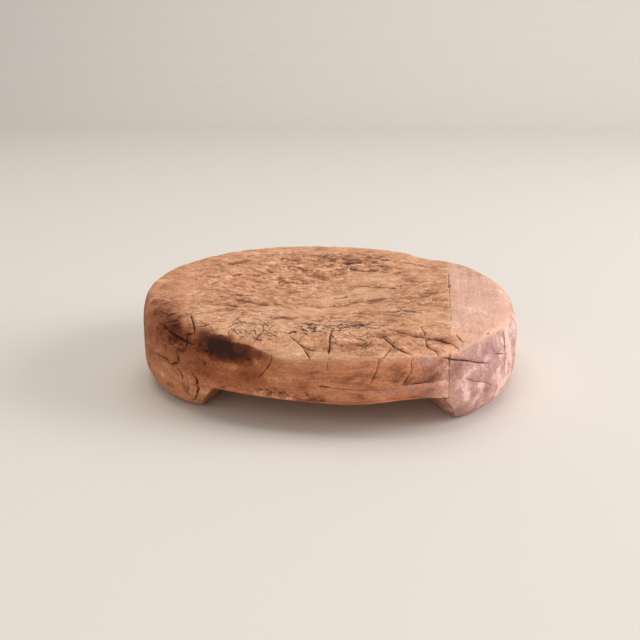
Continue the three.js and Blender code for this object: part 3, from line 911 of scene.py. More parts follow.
# marks: one tilted oval in each cell, deepest in its middle, and of the nine cells round a point the deepest
def markField(points, mark, seed):
    deepest = np.zeros(len(points))
    for order, size in enumerate(mark["cells"]):
        place = points[:, :2] / size
        for offset in np.ndindex(3, 3):
            cell = np.floor(place).astype(np.int64) + np.array(offset) - 1
            a, b, c, d, e, f = cellNumbers(cell, seed + markForm["sheetStep"] * order, 6)
            turn = np.radians(mark["spread"] * (2.0 * c - 1.0))
            dx = (place[:, 0] - cell[:, 0] - a) * size
            dy = (place[:, 1] - cell[:, 1] - b) * size
            along = (dx * np.cos(turn) + dy * np.sin(turn)) / (mark["length"][0] + d * np.ptp(mark["length"]))
            across = (dy * np.cos(turn) - dx * np.sin(turn)) / (mark["width"][0] + e * np.ptp(mark["width"]))
            oval = np.clip(1.0 - along ** 2 - np.abs(across) ** markForm["power"], 0.0, 1.0)
            deepest = np.maximum(deepest, oval * partly("markDepth", f))
    return deepest


# hewn surface: how deep each kind of wear goes and how far it reaches, in millimetres, and slopes
relief = {
    "hewn": 1.3, "fine": 0.16, "torn": 3.0, "knot": 1.5, "dent": 1.5, "facetTop": 34.0, "facetSlope": 0.2,
    "lift": 3.0, "creaseSway": 3.0, "cornerWear": 4.5, "cornerReach": 13.0, "cornerMiddle": (1.15, 1.0, 0.0),
    "level": (1.0, 1.0, 0.0),
}

# ledges chipped into the front: places along x, heights of their lower edge, depth, height and the painted
# shade laid in the chip
ledges = {
    "step": ((59.0, 84.0), (35.5, 36.3), 1.4, 7.5, 0.7),
    "low": ((6.0, 52.0), (33.6, 32.4), 0.6, 5.0, 0.3),
}
# ledges: reach outside and inside their ends in millimetres, and the shares of their height over which their
# painted shade fades
ledgeForm = {"outside": 4.0, "inside": 2.0, "stainAndShade": (0.4, 1.0)}

# zones, in millimetres along an axis or by a part of the normal: where each starts and where it is full
zones = {
    "seamFace": (0.3, 7.0), "sole": (0.05, 1.5), "toEye": (-0.05, 0.12), "dish": (0.75, 1.25),
    "topRise": (0.62, 0.93), "sideRise": (0.3, 0.75), "steepRise": (0.4, 0.75), "cutRise": (0.2, 0.5),
    "cleatX": (85.0, 90.5), "chopGouge": (0.15, 0.75), "chopPatch": (-0.35, 0.35),
    # among these, warm and deep place the painted shade of the side faces, creaseTone eases it off above the
    # crease, arris and pale place painted highlights, mauve, pink and planed painted window light, and
    # footInside the painted shade of the feet
    "creaseX": (-46.0, -30.0), "creaseY": (-20.0, -45.0), "creaseTone": (-1.0, 7.0), "arris": (2.2, 0.4),
    "warmX": (120.0, 74.0), "warmTopX": (-60.0, -130.0),
    "deepX": (20.0, -50.0), "deepEndX": (-80.0, -110.0), "deepLowZ": (34.0, 20.0),
    "paleX": (116.0, 130.0), "mauveX": (58.0, 108.0), "mauveY": (90.0, 0.0), "footInside": (0.15, 0.5),
    "planedX": (90.0, 112.0), "planedY": (-98.0, -78.0), "pinkX": (82.0, 114.0), "pinkEndX": (94.0, 130.0),
    "pinkFrontX": (60.0, 92.0), "pinkFrontY": (-40.0, -80.0),
    "tornZ": (31.0, 25.0), "tornEdge": (-0.05, 0.45), "frontY": (-60.0, -95.0), "frontFacing": (0.3, 0.7),
    "cornerZ": (21.0, 9.0), "facetX": (-6.0, 14.0), "facetEndX": (84.0, 62.0),
    "liftX": (22.0, 64.0), "liftEndX": (92.0, 70.0), "liftY": (-70.0, -112.0), "liftZ": (22.6, 36.0),
}

patchNames = ("char", "halo", "stainAndShade", "mauve", "specks", "cuts", "flakes", "plate", "torn", "chop")


def zone(key, v):
    return easeStep(*zones[key], v)


# normals for carving: level where a seam or the ledge over a foot has to stay where it is
def carvingNormals(points, triangles):
    x, y, z = points.T
    normals = vertexNormals(points, triangles)
    for end in ends.values():
        reach = end["sign"] * x - end["seam"]
        above = z > board["footHeight"] - slack["underside"]
        normals[:, 0] *= np.where(above, zone("seamFace", np.abs(reach)), 1.0)
        overFoot = end["sign"] * (x - footFace(end, y, board["footHeight"])) > -slack["overFoot"]
        normals[overFoot & (np.abs(z - board["footHeight"]) < slack["underside"]), 2] = 0.0
    length = np.linalg.norm(normals, axis=1, keepdims=True)
    return np.where(length > slack["flatNormal"], normals / np.maximum(length, 1e-9), 0.0)


# layers of the patches that the photograph shows, on what faces its camera
def patchLayers(points, normals):
    layers = {key: np.zeros(len(points)) for key in patchNames}
    toEye = eye - points
    facing = zone("toEye", np.einsum("ij,ij->i", normals, toEye) / np.linalg.norm(toEye, axis=1))
    pixels = photoPixels(points)
    ragged = roughNoise(points, *grains["patchEdge"])
    for patch in photoPatches.values():
        layers[patch[0]] = np.maximum(layers[patch[0]], patchMask(patch, points, pixels, ragged) * facing)
    return layers


# chopped top: how rough it is, and the gouges, tears, strokes and dents in it
def chopLayers(points, normals, layers):
    x, y, _ = points.T
    inDish = 1.0 - zone("dish", dishReach(x, y))
    chop = np.maximum(layers["chop"], amounts["chop"] + amounts["chopInDish"] * inDish)
    chop = chop * zone("topRise", normals[:, 2]) * (1.0 - amounts["chopOnCleat"] * zone("cleatX", x))
    chop *= 1.0 - amounts["chopOnPlate"] * layers["plate"]
    warp = np.column_stack([roughNoise(points, *grains[key]) for key in ("warpX", "warpY", "warpZ")])
    warped = points + markForm["warp"] * warp
    for order, (key, mark) in enumerate(marks.items()):
        layers[key] = markField(points if key == "stroke" else warped, mark, markForm["seedStep"] * order)
    patchy = zone("chopPatch", roughNoise(points, *grains["chopPatch"]))
    layers["gouge"] *= zone("chopGouge", chop) * partly("gouge", patchy)
    layers["tear"] *= np.clip(chop * amounts["tearChop"], 0.0, 1.0) * partly("tear", patchy)
    slicing = layers["cuts"] * zone("cutRise", normals[:, 2])
    layers["stroke"] *= np.maximum(slicing, amounts["strokeChop"] * chop)
    layers["chop"] = chop
    layers["dent"] = dentLayer(points)


# tones: painted shade with warm and deep on the left and the side, mauve partly painted window light, painted
# highlight with pale and painted window light with pink on the right, painted highlight along the crease
def toneLayers(kind, points, normals, layers):
    x, y, z = points.T
    smooth = kind == "rightCleat"
    side = 1.0 - zone("sideRise", normals[:, 2])
    creaseZ = creaseHeight(points)
    alongCrease = zone("creaseX", x) * zone("creaseY", y)
    below = creaseZ - z + relief["creaseSway"] * roughNoise(points, *grains["creaseTone"])
    settled = 1.0 - amounts["creaseTone"] * (1.0 - zone("creaseTone", below)) * alongCrease
    # painted shade: the side faces take the darker warm tone, as if turned from the light, eased off on the
    # rim above the front crease; the top takes some of it towards the left end
    layers["warmAndShade"] = settled * side * zone("warmX", x)
    layers["warmAndShade"] += (1.0 - side) * amounts["warmTop"] * zone("warmTopX", x)
    # painted shade: the side faces towards the left darkened further with the deep tone, less at the far left
    # end and near the bottom
    layers["deep"] = side * zone("deepX", x) * (1.0 - amounts["deepEnd"] * zone("deepEndX", x))
    layers["deep"] *= 1.0 - amounts["deepLow"] * zone("deepLowZ", z)
    steep = 1.0 - zone("steepRise", normals[:, 2])
    # painted highlight: the steep faces at the right end, which face the window, made paler through the mauve
    # tone
    layers["pale"] = steep * zone("paleX", x)
    # mauve on the steep faces of the right end: partly their end grain, partly painted light, darker than the
    # top on the front and tinted pink by the window on the side; eased off above the front crease
    layers["mauve"] = np.maximum(layers["mauve"], settled * steep * zone("mauveX", x) * zone("mauveY", y))
    # painted highlight: a pale band along the rim crease, full on the right cleat and weaker on the slab
    ridgeHighlight = zone("arris", np.abs(z - creaseZ)) * alongCrease
    layers["ridgeHighlight"] = ridgeHighlight * (1.0 if smooth else amounts["slabRidgeHighlight"])
    # painted shade: the inner faces of the feet, under the board, darkened through the stain layer
    if kind != "slab":
        inner = [zone("footInside", -end["sign"] * normals[:, 0]) * (end["sign"] * x > slack["footX"])
                 for end in ends.values()]
        footInnerShade = sum(inner) * (z < board["footHeight"] - slack["footSide"])
        layers["stainAndShade"] = np.maximum(layers["stainAndShade"], amounts["footShade"] * footInnerShade)
    # painted window light: the side faces at the right end, and a little of the slab's front near it, take
    # the paler pink tone; on the right cleat its planed top and far end take it too, partly their own paler
    # colour
    pinkFront = amounts["pinkFront"] * zone("pinkFrontX", x) * zone("pinkFrontY", y)
    pinkAndWindowLight = np.maximum(side * zone("pinkX", x), pinkFront)
    if smooth:
        planed = zone("topRise", normals[:, 2]) * np.maximum(zone("planedY", y), zone("planedX", x))
        pinkAndWindowLight = np.maximum(np.maximum(pinkAndWindowLight, amounts["planed"] * planed), zone("pinkEndX", x))
    layers["pinkAndWindowLight"] = pinkAndWindowLight


# depth that is carved away: fine and broad hewing, cracks, marks, burnt knot, torn edge, facet and ledges
def carvedDepth(points, normals, layers):
    x, y, z = points.T
    across, width, tone, cut = crackLayers(points, normals)
    layers.update({"crackAcross": across, "crackHalf": width, "crackDepth": tone})
    depth = relief["fine"] * (1.0 + roughNoise(points, *grains["fine"])) * partly("fine", layers["chop"])
    depth += cut + sum(mark["depth"] * layers[key] for key, mark in marks.items())
    depth += relief["knot"] * layers["char"] * partly("knot", roughNoise(points, *grains["knot"]))
    layers["torn"] *= zone("tornEdge", roughNoise(points, *grains["torn"])) * zone("tornZ", z)
    depth += relief["torn"] * layers["torn"] + relief["dent"] * layers["dent"]
    depth += relief["hewn"] * 0.5 * (1.0 + roughNoise(points, *grains["hewn"]))
    front = zone("frontY", y) * zone("frontFacing", -normals[:, 1])
    facet = front * zone("facetX", x) * zone("facetEndX", x)
    depth += facet * np.maximum((relief["facetTop"] - z) * relief["facetSlope"], 0.0)
    outside, inside = ledgeForm["outside"], ledgeForm["inside"]
    for (left, right), levels, deep, height, shade in ledges.values():
        over = (z - np.interp(x, (left, right), levels)) / height
        within = easeStep(left - outside, left + inside, x) * easeStep(right + outside, right - inside, x)
        chipped = front * within * (over > 0.0)
        depth += deep * chipped * np.clip(1.0 - over, 0.0, 1.0)
        # painted shade: the chip darkened just above its lower edge, fading upwards
        stainAndShade = shade * chipped * (1.0 - easeStep(*ledgeForm["stainAndShade"], over))
        layers["stainAndShade"] = np.maximum(layers["stainAndShade"], stainAndShade)
    return depth


# worn foot corners: points near them drawn level towards the foot's middle
def cornerWear(points, corners):
    gaps = np.linalg.norm(points[:, None] - corners[None], axis=-1)
    worn = np.clip(1.0 - gaps.min(axis=1) / relief["cornerReach"], 0.0, 1.0) ** 2
    inner = (corners.mean(axis=0) * relief["cornerMiddle"] - corners * relief["level"])[gaps.argmin(axis=1)]
    inner /= np.linalg.norm(inner, axis=1, keepdims=True)
    return inner * (relief["cornerWear"] * worn)[:, None]


# carve one piece: the depth goes inwards along the normal, and the layers say what shows there
def carve(kind, points, triangles, hidden):
    x, y, z = points.T
    normals = carvingNormals(points, triangles)
    layers = patchLayers(points, normals)
    chopLayers(points, normals, layers)
    toneLayers(kind, points, normals, layers)
    depth = carvedDepth(points, normals, layers)
    shown = ~hidden
    carved = points - normals * (depth * shown * zone("sole", z))[:, None]
    if kind == "slab":
        lift = relief["lift"] * zone("liftX", x) * zone("liftY", y) * (1.0 - zone("liftZ", z))
        carved[:, 2] += lift * partly("lift", zone("liftEndX", x)) * shown
    else:
        feet = grids[kind][[0, -1], :cleat["footRows"]].reshape(-1, 3)
        carved += cornerWear(carved, feet) * (zone("cornerZ", z) * shown)[:, None]
    low, high = [np.array(corner) / mm for corner in cadBox]
    return np.clip(carved, low, high), layers


# seams: how near a cleat's edge is laid on the slab's, and how far inside it the face stays, in millimetres
seaming = {"reach": 5.0, "near": 1.2, "inside": 0.4}


# the loop of points round a seam, in order of their turn about its middle
def seamLoop(points):
    middle = 0.5 * (points.min(axis=0) + points.max(axis=0))
    order = np.argsort(np.arctan2(points[:, 2] - middle[2], points[:, 1] - middle[1]))
    return np.concatenate([points[order], points[order[:1]]])


# points of a seam face drawn in towards its middle where they stand outside the loop
def insideLoop(flat, loop):
    middle = 0.5 * (loop.min(axis=0) + loop.max(axis=0))[1:]
    way, rim = flat - middle, loop[:-1, 1:] - middle
    turn, rimTurn = np.arctan2(way[:, 1], way[:, 0]), np.arctan2(rim[:, 1], rim[:, 0])
    limit = np.interp(turn, rimTurn, np.hypot(rim[:, 0], rim[:, 1]), period=2.0 * math.pi)
    reach = np.maximum(np.hypot(way[:, 0], way[:, 1]), 1e-6)
    return middle + way * np.minimum(1.0, (limit - seaming["inside"]) / reach)[:, None]


pieces = {}
seamLoops = {}
for name, (points, triangles, hidden, edges) in shapes.items():
    points, layers = carve(name, points, triangles, hidden)
    for sign, (edge, face) in edges.items():
        if name == "slab":
            seamLoops[sign] = seamLoop(points[edge])
        else:
            near, away, _, _, distance = nearLine(points[edge], seamLoops[sign], seaming["reach"])
            close = distance < seaming["near"]
            points[edge[near[close]], 1:] -= away[close, 1:]
            points[face, 1:] = insideLoop(points[face, 1:], seamLoops[sign])
            print("laid", close.sum(), "of", len(edge), "edge points of", name, "on the slab")
    pieces[name] = makeMesh(name, points, triangles, layers)
    print("carved", name)


# pegs whittled to flats: counts, sizes in millimetres, spread of the end rings, turn and twist
peg = {"radius": 4.42, "sides": 10, "low": 1.2, "high": 52.9, "nose": 3.0, "taper": 1.2, "chamfer": 0.5,
       "steps": 60, "rings": 34, "footRings": (0.0, 0.25, 0.5, 0.75, 1.0), "noseRings": (1.0, 0.6, 0.3, 0.0),
       "turn": 0.35, "twist": 0.004, "endGrain": (0.5, 0.9)}


# peg: a flat-sided radius in each direction, narrowed at both ends, carried up its axis with a slight twist
def pegGrid(spot, seed):
    foot, nose = peg["footRings"], peg["noseRings"]
    turn = np.linspace(0.0, 2.0 * math.pi, peg["steps"], endpoint=False)
    shaft = np.linspace(peg["low"] + peg["chamfer"], peg["high"] - peg["nose"], peg["rings"])
    heights = np.concatenate([[peg["low"]] * len(foot), shaft, [peg["high"]] * len(nose)])
    spread = np.concatenate([foot, np.ones(peg["rings"]), nose])
    radius = np.full(len(heights), peg["radius"])
    radius[:len(foot)] -= peg["chamfer"]
    radius[-len(nose):] -= peg["taper"]
    twist = peg["turn"] * seed + peg["twist"] * (heights - peg["low"])
    flat = math.pi / peg["sides"]
    facing = (turn[None] + twist[:, None]) % (2.0 * flat) - flat
    reach = (radius * spread)[:, None] * math.cos(flat) / np.cos(facing)
    level = heights[:, None] + 0.0 * reach
    whittled = np.stack([reach * np.cos(turn), reach * np.sin(turn), level], axis=-1)
    size, firstSeed = grains["whittled"]
    dents = roughNoise(whittled.reshape(-1, 3), size, firstSeed + seed).reshape(reach.shape)
    whittled[..., :2] *= partly("pegDents", dents)[..., None]
    return whittled + np.array([*spot, 0.0])


pegPlaces = ("front", "middle", "back")
for endName, end in ends.items():
    for seed, (place, spot) in enumerate(zip(pegPlaces, pegSpots(end))):
        name = endName + "Peg" + place.capitalize()
        points, triangles = weldGrid(pegGrid(spot, seed))
        endGrain = np.abs(vertexNormals(points, triangles)[:, 2])
        pieces[name] = makeMesh(name, points, triangles, {"endGrain": easeStep(*peg["endGrain"], endGrain)})
print("whittled", len(pieces) - len(shapes), "pegs")


# nodes: add one with its settings, and link or fill its inputs
def addNode(tree, kind, inputs, **settings):
    node = tree.nodes.new("ShaderNode" + kind)
    for key, value in settings.items():
        setattr(node, key, value)
    for socket, value in inputs.items():
        if isinstance(value, bpy.types.NodeSocket):
            tree.links.new(value, node.inputs[socket])
        else:
            node.inputs[socket].default_value = value
    return node


def calc(tree, operation, a, b=0.0, c=0.0, clamp=False):
    return addNode(tree, "Math", {0: a, 1: b, 2: c}, operation=operation, use_clamp=clamp).outputs[0]


def times(tree, a, b):
    return calc(tree, "MULTIPLY", a, b)


def timesPlus(tree, a, b, c):
    return calc(tree, "MULTIPLY_ADD", a, b, c)


def larger(tree, a, b):
    return calc(tree, "MAXIMUM", a, b)


def vector(tree, operation, a, b=(0.0, 0.0, 0.0)):
    return addNode(tree, "VectorMath", {0: a, 1: b}, operation=operation).outputs[0]


def scaled(tree, place, factors):
    return vector(tree, "MULTIPLY", place, factors)


def combined(tree, x, y, z):
    return addNode(tree, "CombineXYZ", {0: x, 1: y, 2: z}).outputs[0]


def rotated(tree, place, angle, axis):
    return addNode(tree, "VectorRotate", {"Vector": place, "Angle": angle}, rotation_type=axis).outputs[0]


def blend(tree, factor, a, b, mode="MIX"):
    return addNode(tree, "Mix", {0: factor, 6: a, 7: b}, data_type="RGBA", blend_type=mode).outputs[2]


def noise(tree, place, scale, detail, rough):
    inputs = {"Vector": place, "Scale": scale, "Detail": detail, "Roughness": rough}
    return addNode(tree, "TexNoise", inputs).outputs[0]


def layer(tree, key):
    node = tree.nodes.get(key) or addNode(tree, "Attribute", {}, attribute_name=key, name=key)
    return node.outputs["Fac"]


# ramps: the values that are carried to 0 and 1, eased between them
ramps = {
    "toMiddle": (0.3, 0.5), "toPale": (0.5, 0.7), "thread": (0.3, 0.7), "grit": (0.3, 0.7),
    "lumps": (0.36, 0.64), "halo": (0.1, 1.0), "stainAndShade": (0.2, 0.9), "patchEdge": (0.0, 0.25),
    "blotch": (0.5, 0.64), "gouge": (0.1, 0.8), "tear": (0.15, 0.6), "dent": (0.0, 0.7),
    "sparse": (0.4, 0.6), "stroke": (0.1, 0.6), "charEdge": (0.0, 0.3), "burntEdge": (0.05, 0.5),
    "burntCore": (0.35, 1.0), "parted": (0.04, 0.2), "crack": (1.75, 0.85), "crackSide": (3.3, 1.0),
    "crackDepth": (0.3, 1.9), "rings": (0.45, 0.6), "cut": (1.0, 0.2), "pit": (0.0, 0.05),
}


def ramp(tree, key, value):
    low, high = ramps[key]
    return addNode(tree, "MapRange", {"Value": value, "From Min": low, "From Max": high},
                   interpolation_type="SMOOTHSTEP").outputs[0]


# noise patterns: scale for each millimetre, even or along each axis, then detail and roughness
patterns = {
    "thread": (1.0, 3.0, 0.6), "streak": (1.0, 3.0, 0.55), "pit": (1.0, 2.0, 0.6),
    "broad": ((0.05, 0.07, 0.07), 4.0, 0.6), "mottle": (0.085, 5.0, 0.62), "grit": (0.8, 3.0, 0.7),
    "lumps": ((0.2, 0.32, 0.32), 4.0, 0.65), "ragged": ((0.1, 0.2, 0.22), 5.0, 0.62),
    "blotch": ((0.11, 0.18, 0.18), 4.0, 0.7), "sparse": (0.06, 2.0, 0.55),
    "burn": ((0.16, 0.26, 0.26), 5.0, 0.66), "pegStreak": ((0.9, 0.9, 0.05), 3.0, 0.6),
    "pegRings": (0.6, 3.0, 0.6),
}


def pattern(tree, place, key):
    scale, detail, rough = patterns[key]
    if isinstance(scale, tuple):
        place, scale = scaled(tree, place, scale), 1.0
    return noise(tree, place, scale, detail, rough)


# screen colour to the linear values that sockets hold
def paint(red, green, blue):
    screen = np.array([red, green, blue])
    linear = np.where(screen < 0.04045, screen / 12.92, ((screen + 0.055) / 1.055) ** 2.4)
    return (*linear.tolist(), 1.0)


def newGroup(name, inputs, outputs):
    group = bpy.data.node_groups.new(name, "ShaderNodeTree")
    for key in inputs:
        kind = "NodeSocketVector" if key == "Vector" else "NodeSocketFloat"
        group.interface.new_socket(key, in_out="INPUT", socket_type=kind)
    for key in outputs:
        group.interface.new_socket(key, in_out="OUTPUT", socket_type="NodeSocketFloat")
    source = group.nodes.new("NodeGroupInput")
    target = group.nodes.new("NodeGroupOutput")
    return group, source.outputs, target.inputs


streakScale = (0.5, 0.16, 0.16)


# fibres: noise drawn out along X, fine threads and broader streaks
def fibreGroup():
    group, given, result = newGroup("fibres", ("Vector", "Length", "Width"), ("Thread", "Streak"))
    size = combined(group, given["Length"], given["Width"], given["Width"])
    place = vector(group, "DIVIDE", given["Vector"], size)
    group.links.new(pattern(group, place, "thread"), result["Thread"])
    broad = scaled(group, place, streakScale)
    group.links.new(pattern(group, broad, "streak"), result["Streak"])
    return group


# knife cuts: sheets by seed, cell size and half width in millimetres, then the spread of their turns in
# radians, and in shares of a cell the shift, middle, nudge and half length
knife = {
    "sheets": ((3.0, 26.0, 0.66), (29.0, 20.0, 0.64), (41.0, 16.0, 0.6), (53.0, 10.0, 0.5),
               (67.0, 22.0, 0.64), (71.0, 12.5, 0.54), (83.0, 14.0, 0.56)),
    "spread": 2.7, "shift": (500.0, 500.0, 0.0), "middle": (0.5, 0.5, 0.0), "nudge": (0.3, 0.3, 0.0),
    "half": (0.2, 0.15), "taper": 2.0, "least": 0.0001, "onChop": 0.5, "stroke": 0.3,
}
evenChance = (0.5, 0.5, 0.5)


# in each square cell one thin line at a random turn, tapering to its ends
def cutGroup():
    group, given, result = newGroup("knifeCuts", ("Vector", "Cell", "Width", "Spread", "Seed"), ("Cut",))
    flat = scaled(group, given["Vector"], (1.0, 1.0, 0.0))
    size = combined(group, given["Cell"], given["Cell"], 1.0)
    place = vector(group, "ADD", vector(group, "DIVIDE", flat, size), knife["shift"])
    shift = combined(group, given["Seed"], given["Seed"], 0.0)
    place = vector(group, "ADD", place, shift)
    cell = vector(group, "FLOOR", place)
    thrown = vector(group, "ADD", cell, shift)
    dice = addNode(group, "TexWhiteNoise", {"Vector": thrown}, noise_dimensions="3D")
    chance = addNode(group, "SeparateXYZ", {0: dice.outputs["Color"]}).outputs
    inside = vector(group, "SUBTRACT", vector(group, "FRACTION", place), knife["middle"])
    nudge = scaled(group, vector(group, "SUBTRACT", dice.outputs["Color"], evenChance), knife["nudge"])
    inside = vector(group, "SUBTRACT", inside, nudge)
    turn = times(group, calc(group, "SUBTRACT", chance[2], 0.5), given["Spread"])
    axes = addNode(group, "SeparateXYZ", {0: rotated(group, inside, turn, "Z_AXIS")}).outputs
    half = timesPlus(group, dice.outputs["Value"], *knife["half"])
    along = calc(group, "DIVIDE", calc(group, "ABSOLUTE", axes[0]), half)
    taper = calc(group, "SUBTRACT", 1.0, calc(group, "POWER", along, knife["taper"]), clamp=True)
    width = times(group, calc(group, "DIVIDE", given["Width"], given["Cell"]), taper)
    across = calc(group, "DIVIDE", calc(group, "ABSOLUTE", axes[1]), larger(group, width, knife["least"]))
    group.links.new(ramp(group, "cut", across), result["Cut"])
    return group


# pits: dark specks where fine noise rises over a level
def pitGroup():
    group, given, result = newGroup("pits", ("Vector", "Size", "Level"), ("Pit",))
    size = combined(group, given["Size"], given["Size"], given["Size"])
    grain = pattern(group, vector(group, "DIVIDE", given["Vector"], size), "pit")
    over = calc(group, "SUBTRACT", grain, given["Level"])
    group.links.new(ramp(group, "pit", over), result["Pit"])
    return group


fibres, knifeCuts, pits = fibreGroup(), cutGroup(), pitGroup()


def useGroup(tree, group, inputs):
    return addNode(tree, "Group", inputs, node_tree=group).outputs


# wood tones as they look on screen, from dark to pale; warm and deep also paint shade on the side faces, pink
# the window light on the right, mauve partly that window light on the right end
tones = {
    "plain": ((0.63, 0.43, 0.30), (0.89, 0.68, 0.53), (0.98, 0.825, 0.69)),
    "warmAndShade": ((0.54, 0.325, 0.21), (0.79, 0.535, 0.39), (0.92, 0.69, 0.535)),
    "pinkAndWindowLight": ((0.79, 0.60, 0.53), (0.885, 0.71, 0.635), (0.965, 0.84, 0.80)),
    "mauve": ((0.56, 0.40, 0.385), (0.73, 0.56, 0.53), (0.93, 0.785, 0.745)),
    "deep": ((0.41, 0.20, 0.11), (0.63, 0.37, 0.23), (0.78, 0.53, 0.365)),
    "peg": ((0.36, 0.23, 0.15), (0.46, 0.31, 0.21), (0.58, 0.41, 0.29)),
}
# colours laid over the wood: flake also paints the highlight along the crease, and line the cracks' dark
# core, partly painted shade
coverColours = {"halo": (0.38, 0.18, 0.10), "char": (0.17, 0.07, 0.06), "line": (0.12, 0.055, 0.035),
          "cut": (0.22, 0.10, 0.055), "flake": (0.97, 0.84, 0.72)}

# washes: how much red, green and blue light a stain leaves; the stain layer's wash also lays the painted
# shade of the feet and the ledges
washes = {"brown": (0.46, 0.33, 0.23), "dark": (0.25, 0.13, 0.075), "stainAndShade": (0.35, 0.19, 0.11),
          "ember": (0.42, 0.21, 0.12)}

# tints that follow a pattern: what its dark and its pale parts leave of the light
tints = {"thread": ((0.66, 0.60, 0.56), (1.14, 1.14, 1.14)), "grit": ((0.70, 0.64, 0.58), (1.18, 1.17, 1.16)),
         "lumps": ((0.62, 0.53, 0.45), (1.2, 1.2, 1.2))}

# what darkens the wood, by its wash, and what covers it, by its colour, with how strongly; the stain layer
# also darkens painted shade, the ridge cover is a painted highlight and the crack cover is partly painted
# shade
darkMarks = {
    "halo": ("ember", 0.85), "stainAndShade": ("stainAndShade", 0.72), "torn": ("dark", 0.35), "blotch": ("brown", 0.6),
    "nick": ("dark", 0.5), "gouge": ("brown", 0.5), "tear": ("dark", 0.6), "dent": ("dark", 0.8),
    "crackSide": ("ember", 0.55),
}
coverMarks = {
    "plate": ("flake", 0.12), "ridgeHighlight": ("flake", 0.25), "flake": ("flake", 0.55), "speck": ("line", 0.9),
    "knifeCut": ("cut", 0.92), "burntEdge": ("halo", 0.8), "burntCore": ("char", 0.87),
    "crack": ("line", 0.95), "pegEnd": ("halo", 0.6),
}

# pits by kind: stretch or shift of their place, size in millimetres, and the noise level that they rise over,
# after its slope on the patch where it has one
pitKinds = {
    "nick": {"stretch": (0.45, 0.7, 1.0), "size": 1.5, "level": 0.56},
    "flake": {"shift": (90.0, 40.0, 0.0), "size": 3.4, "level": (-0.12, 0.66)},
    "speck": {"stretch": (0.5, 0.6, 1.0), "size": 1.7, "level": (-0.19, 0.68)},
}

# how strongly the parts of a wood's colour and height count
weights = {
    "streak": 0.4, "broad": 0.6, "pale": (0.1, 0.02), "linesOnChop": -0.35, "grit": 0.6, "lumps": 0.7,
    "slant": 38.0, "ragged": {"halo": 1.2, "stainAndShade": 1.6}, "dent": 1.2, "dentGrit": -0.3, "flakeOnChop": 0.6,
    "burn": 1.5, "crackGrit": 0.9, "leastHalf": 0.001, "leastShade": 0.4, "shadeLumps": -0.25,
    "threadHeight": 0.3, "gritHeight": 0.3, "cutHeight": -0.8, "speckHeight": -0.7, "blotchHeight": -0.7,
    "smoothThread": 0.1, "warpScale": 0.03, "warpDetail": 2.0, "pegRough": (-0.2, 0.85),
}
finish = {"bump": 0.8, "specular": 0.25, "wood": 0.0006, "peg": 0.0004}

# each wood: its slot, the turn of its grain in degrees, thread sizes and warp in millimetres, roughness, and
# how strongly its threads show
looks = {
    "slab": {"slot": "slab_wood", "turn": 0.0, "thread": (16.0, 0.9), "warp": 10.0, "rough": 0.72,
             "lines": 0.6},
    "leftCleat": {"slot": "cleat_wood", "turn": 0.0, "thread": (16.0, 0.9), "warp": 10.0, "rough": 0.7,
                  "lines": 0.6},
    "rightCleat": {"slot": "cleat_wood", "turn": 90.0, "thread": (46.0, 0.9), "warp": 3.0, "rough": 0.6,
                   "lines": 0.35},
}


# a tone: its dark colour through its middle one to its pale one
def toneBlend(tree, amount, key):
    dark, middle, pale = [paint(*colour) for colour in tones[key]]
    colour = blend(tree, ramp(tree, "toMiddle", amount), dark, middle)
    return blend(tree, ramp(tree, "toPale", amount), colour, pale)


def tinted(tree, colour, key, strength, factor):
    low, high = tints[key]
    return blend(tree, strength, colour, blend(tree, factor, (*low, 1.0), (*high, 1.0)), "MULTIPLY")


def darkened(tree, colour, key, factor):
    wash, amount = darkMarks[key]
    return blend(tree, times(tree, factor, amount), colour, (*washes[wash], 1.0), "MULTIPLY")


def covered(tree, colour, key, factor):
    stainAndShade, amount = coverMarks[key]
    return blend(tree, times(tree, factor, amount), colour, paint(*coverColours[stainAndShade]))


def pitsOf(tree, key, place, level):
    return useGroup(tree, pits, {"Vector": place, "Size": pitKinds[key]["size"], "Level": level})["Pit"]


def newMaterial(name):
    material = bpy.data.materials.new(name)
    material.use_nodes = True
    material.node_tree.nodes.clear()
    tree = material.node_tree
    place = scaled(tree, addNode(tree, "TexCoord", {}).outputs["Object"], (1.0 / mm,) * 3)
    return material, tree, place


def finishMaterial(tree, colour, rough, height, kind):
    bumpInputs = {"Strength": finish["bump"], "Distance": finish[kind], "Height": height}
    bump = addNode(tree, "Bump", bumpInputs).outputs[0]
    shader = addNode(tree, "BsdfPrincipled", {"Base Color": colour, "Roughness": rough, "Normal": bump})
    shader.inputs["Specular IOR Level"].default_value = finish["specular"]
    addNode(tree, "OutputMaterial", {"Surface": shader.outputs[0]})


# fibres along the grain, which is turned and warped
def grainFibres(tree, place, look):
    turned = rotated(tree, place, math.radians(look["turn"]), "Z_AXIS")
    warpInputs = {"Vector": place, "Scale": weights["warpScale"], "Detail": weights["warpDetail"]}
    warp = addNode(tree, "TexNoise", warpInputs).outputs["Color"]
    warp = scaled(tree, vector(tree, "SUBTRACT", warp, evenChance), (0.0, look["warp"], look["warp"]))
    grain = vector(tree, "ADD", turned, warp)
    length, width = look["thread"]
    return useGroup(tree, fibres, {"Vector": grain, "Length": length, "Width": width})


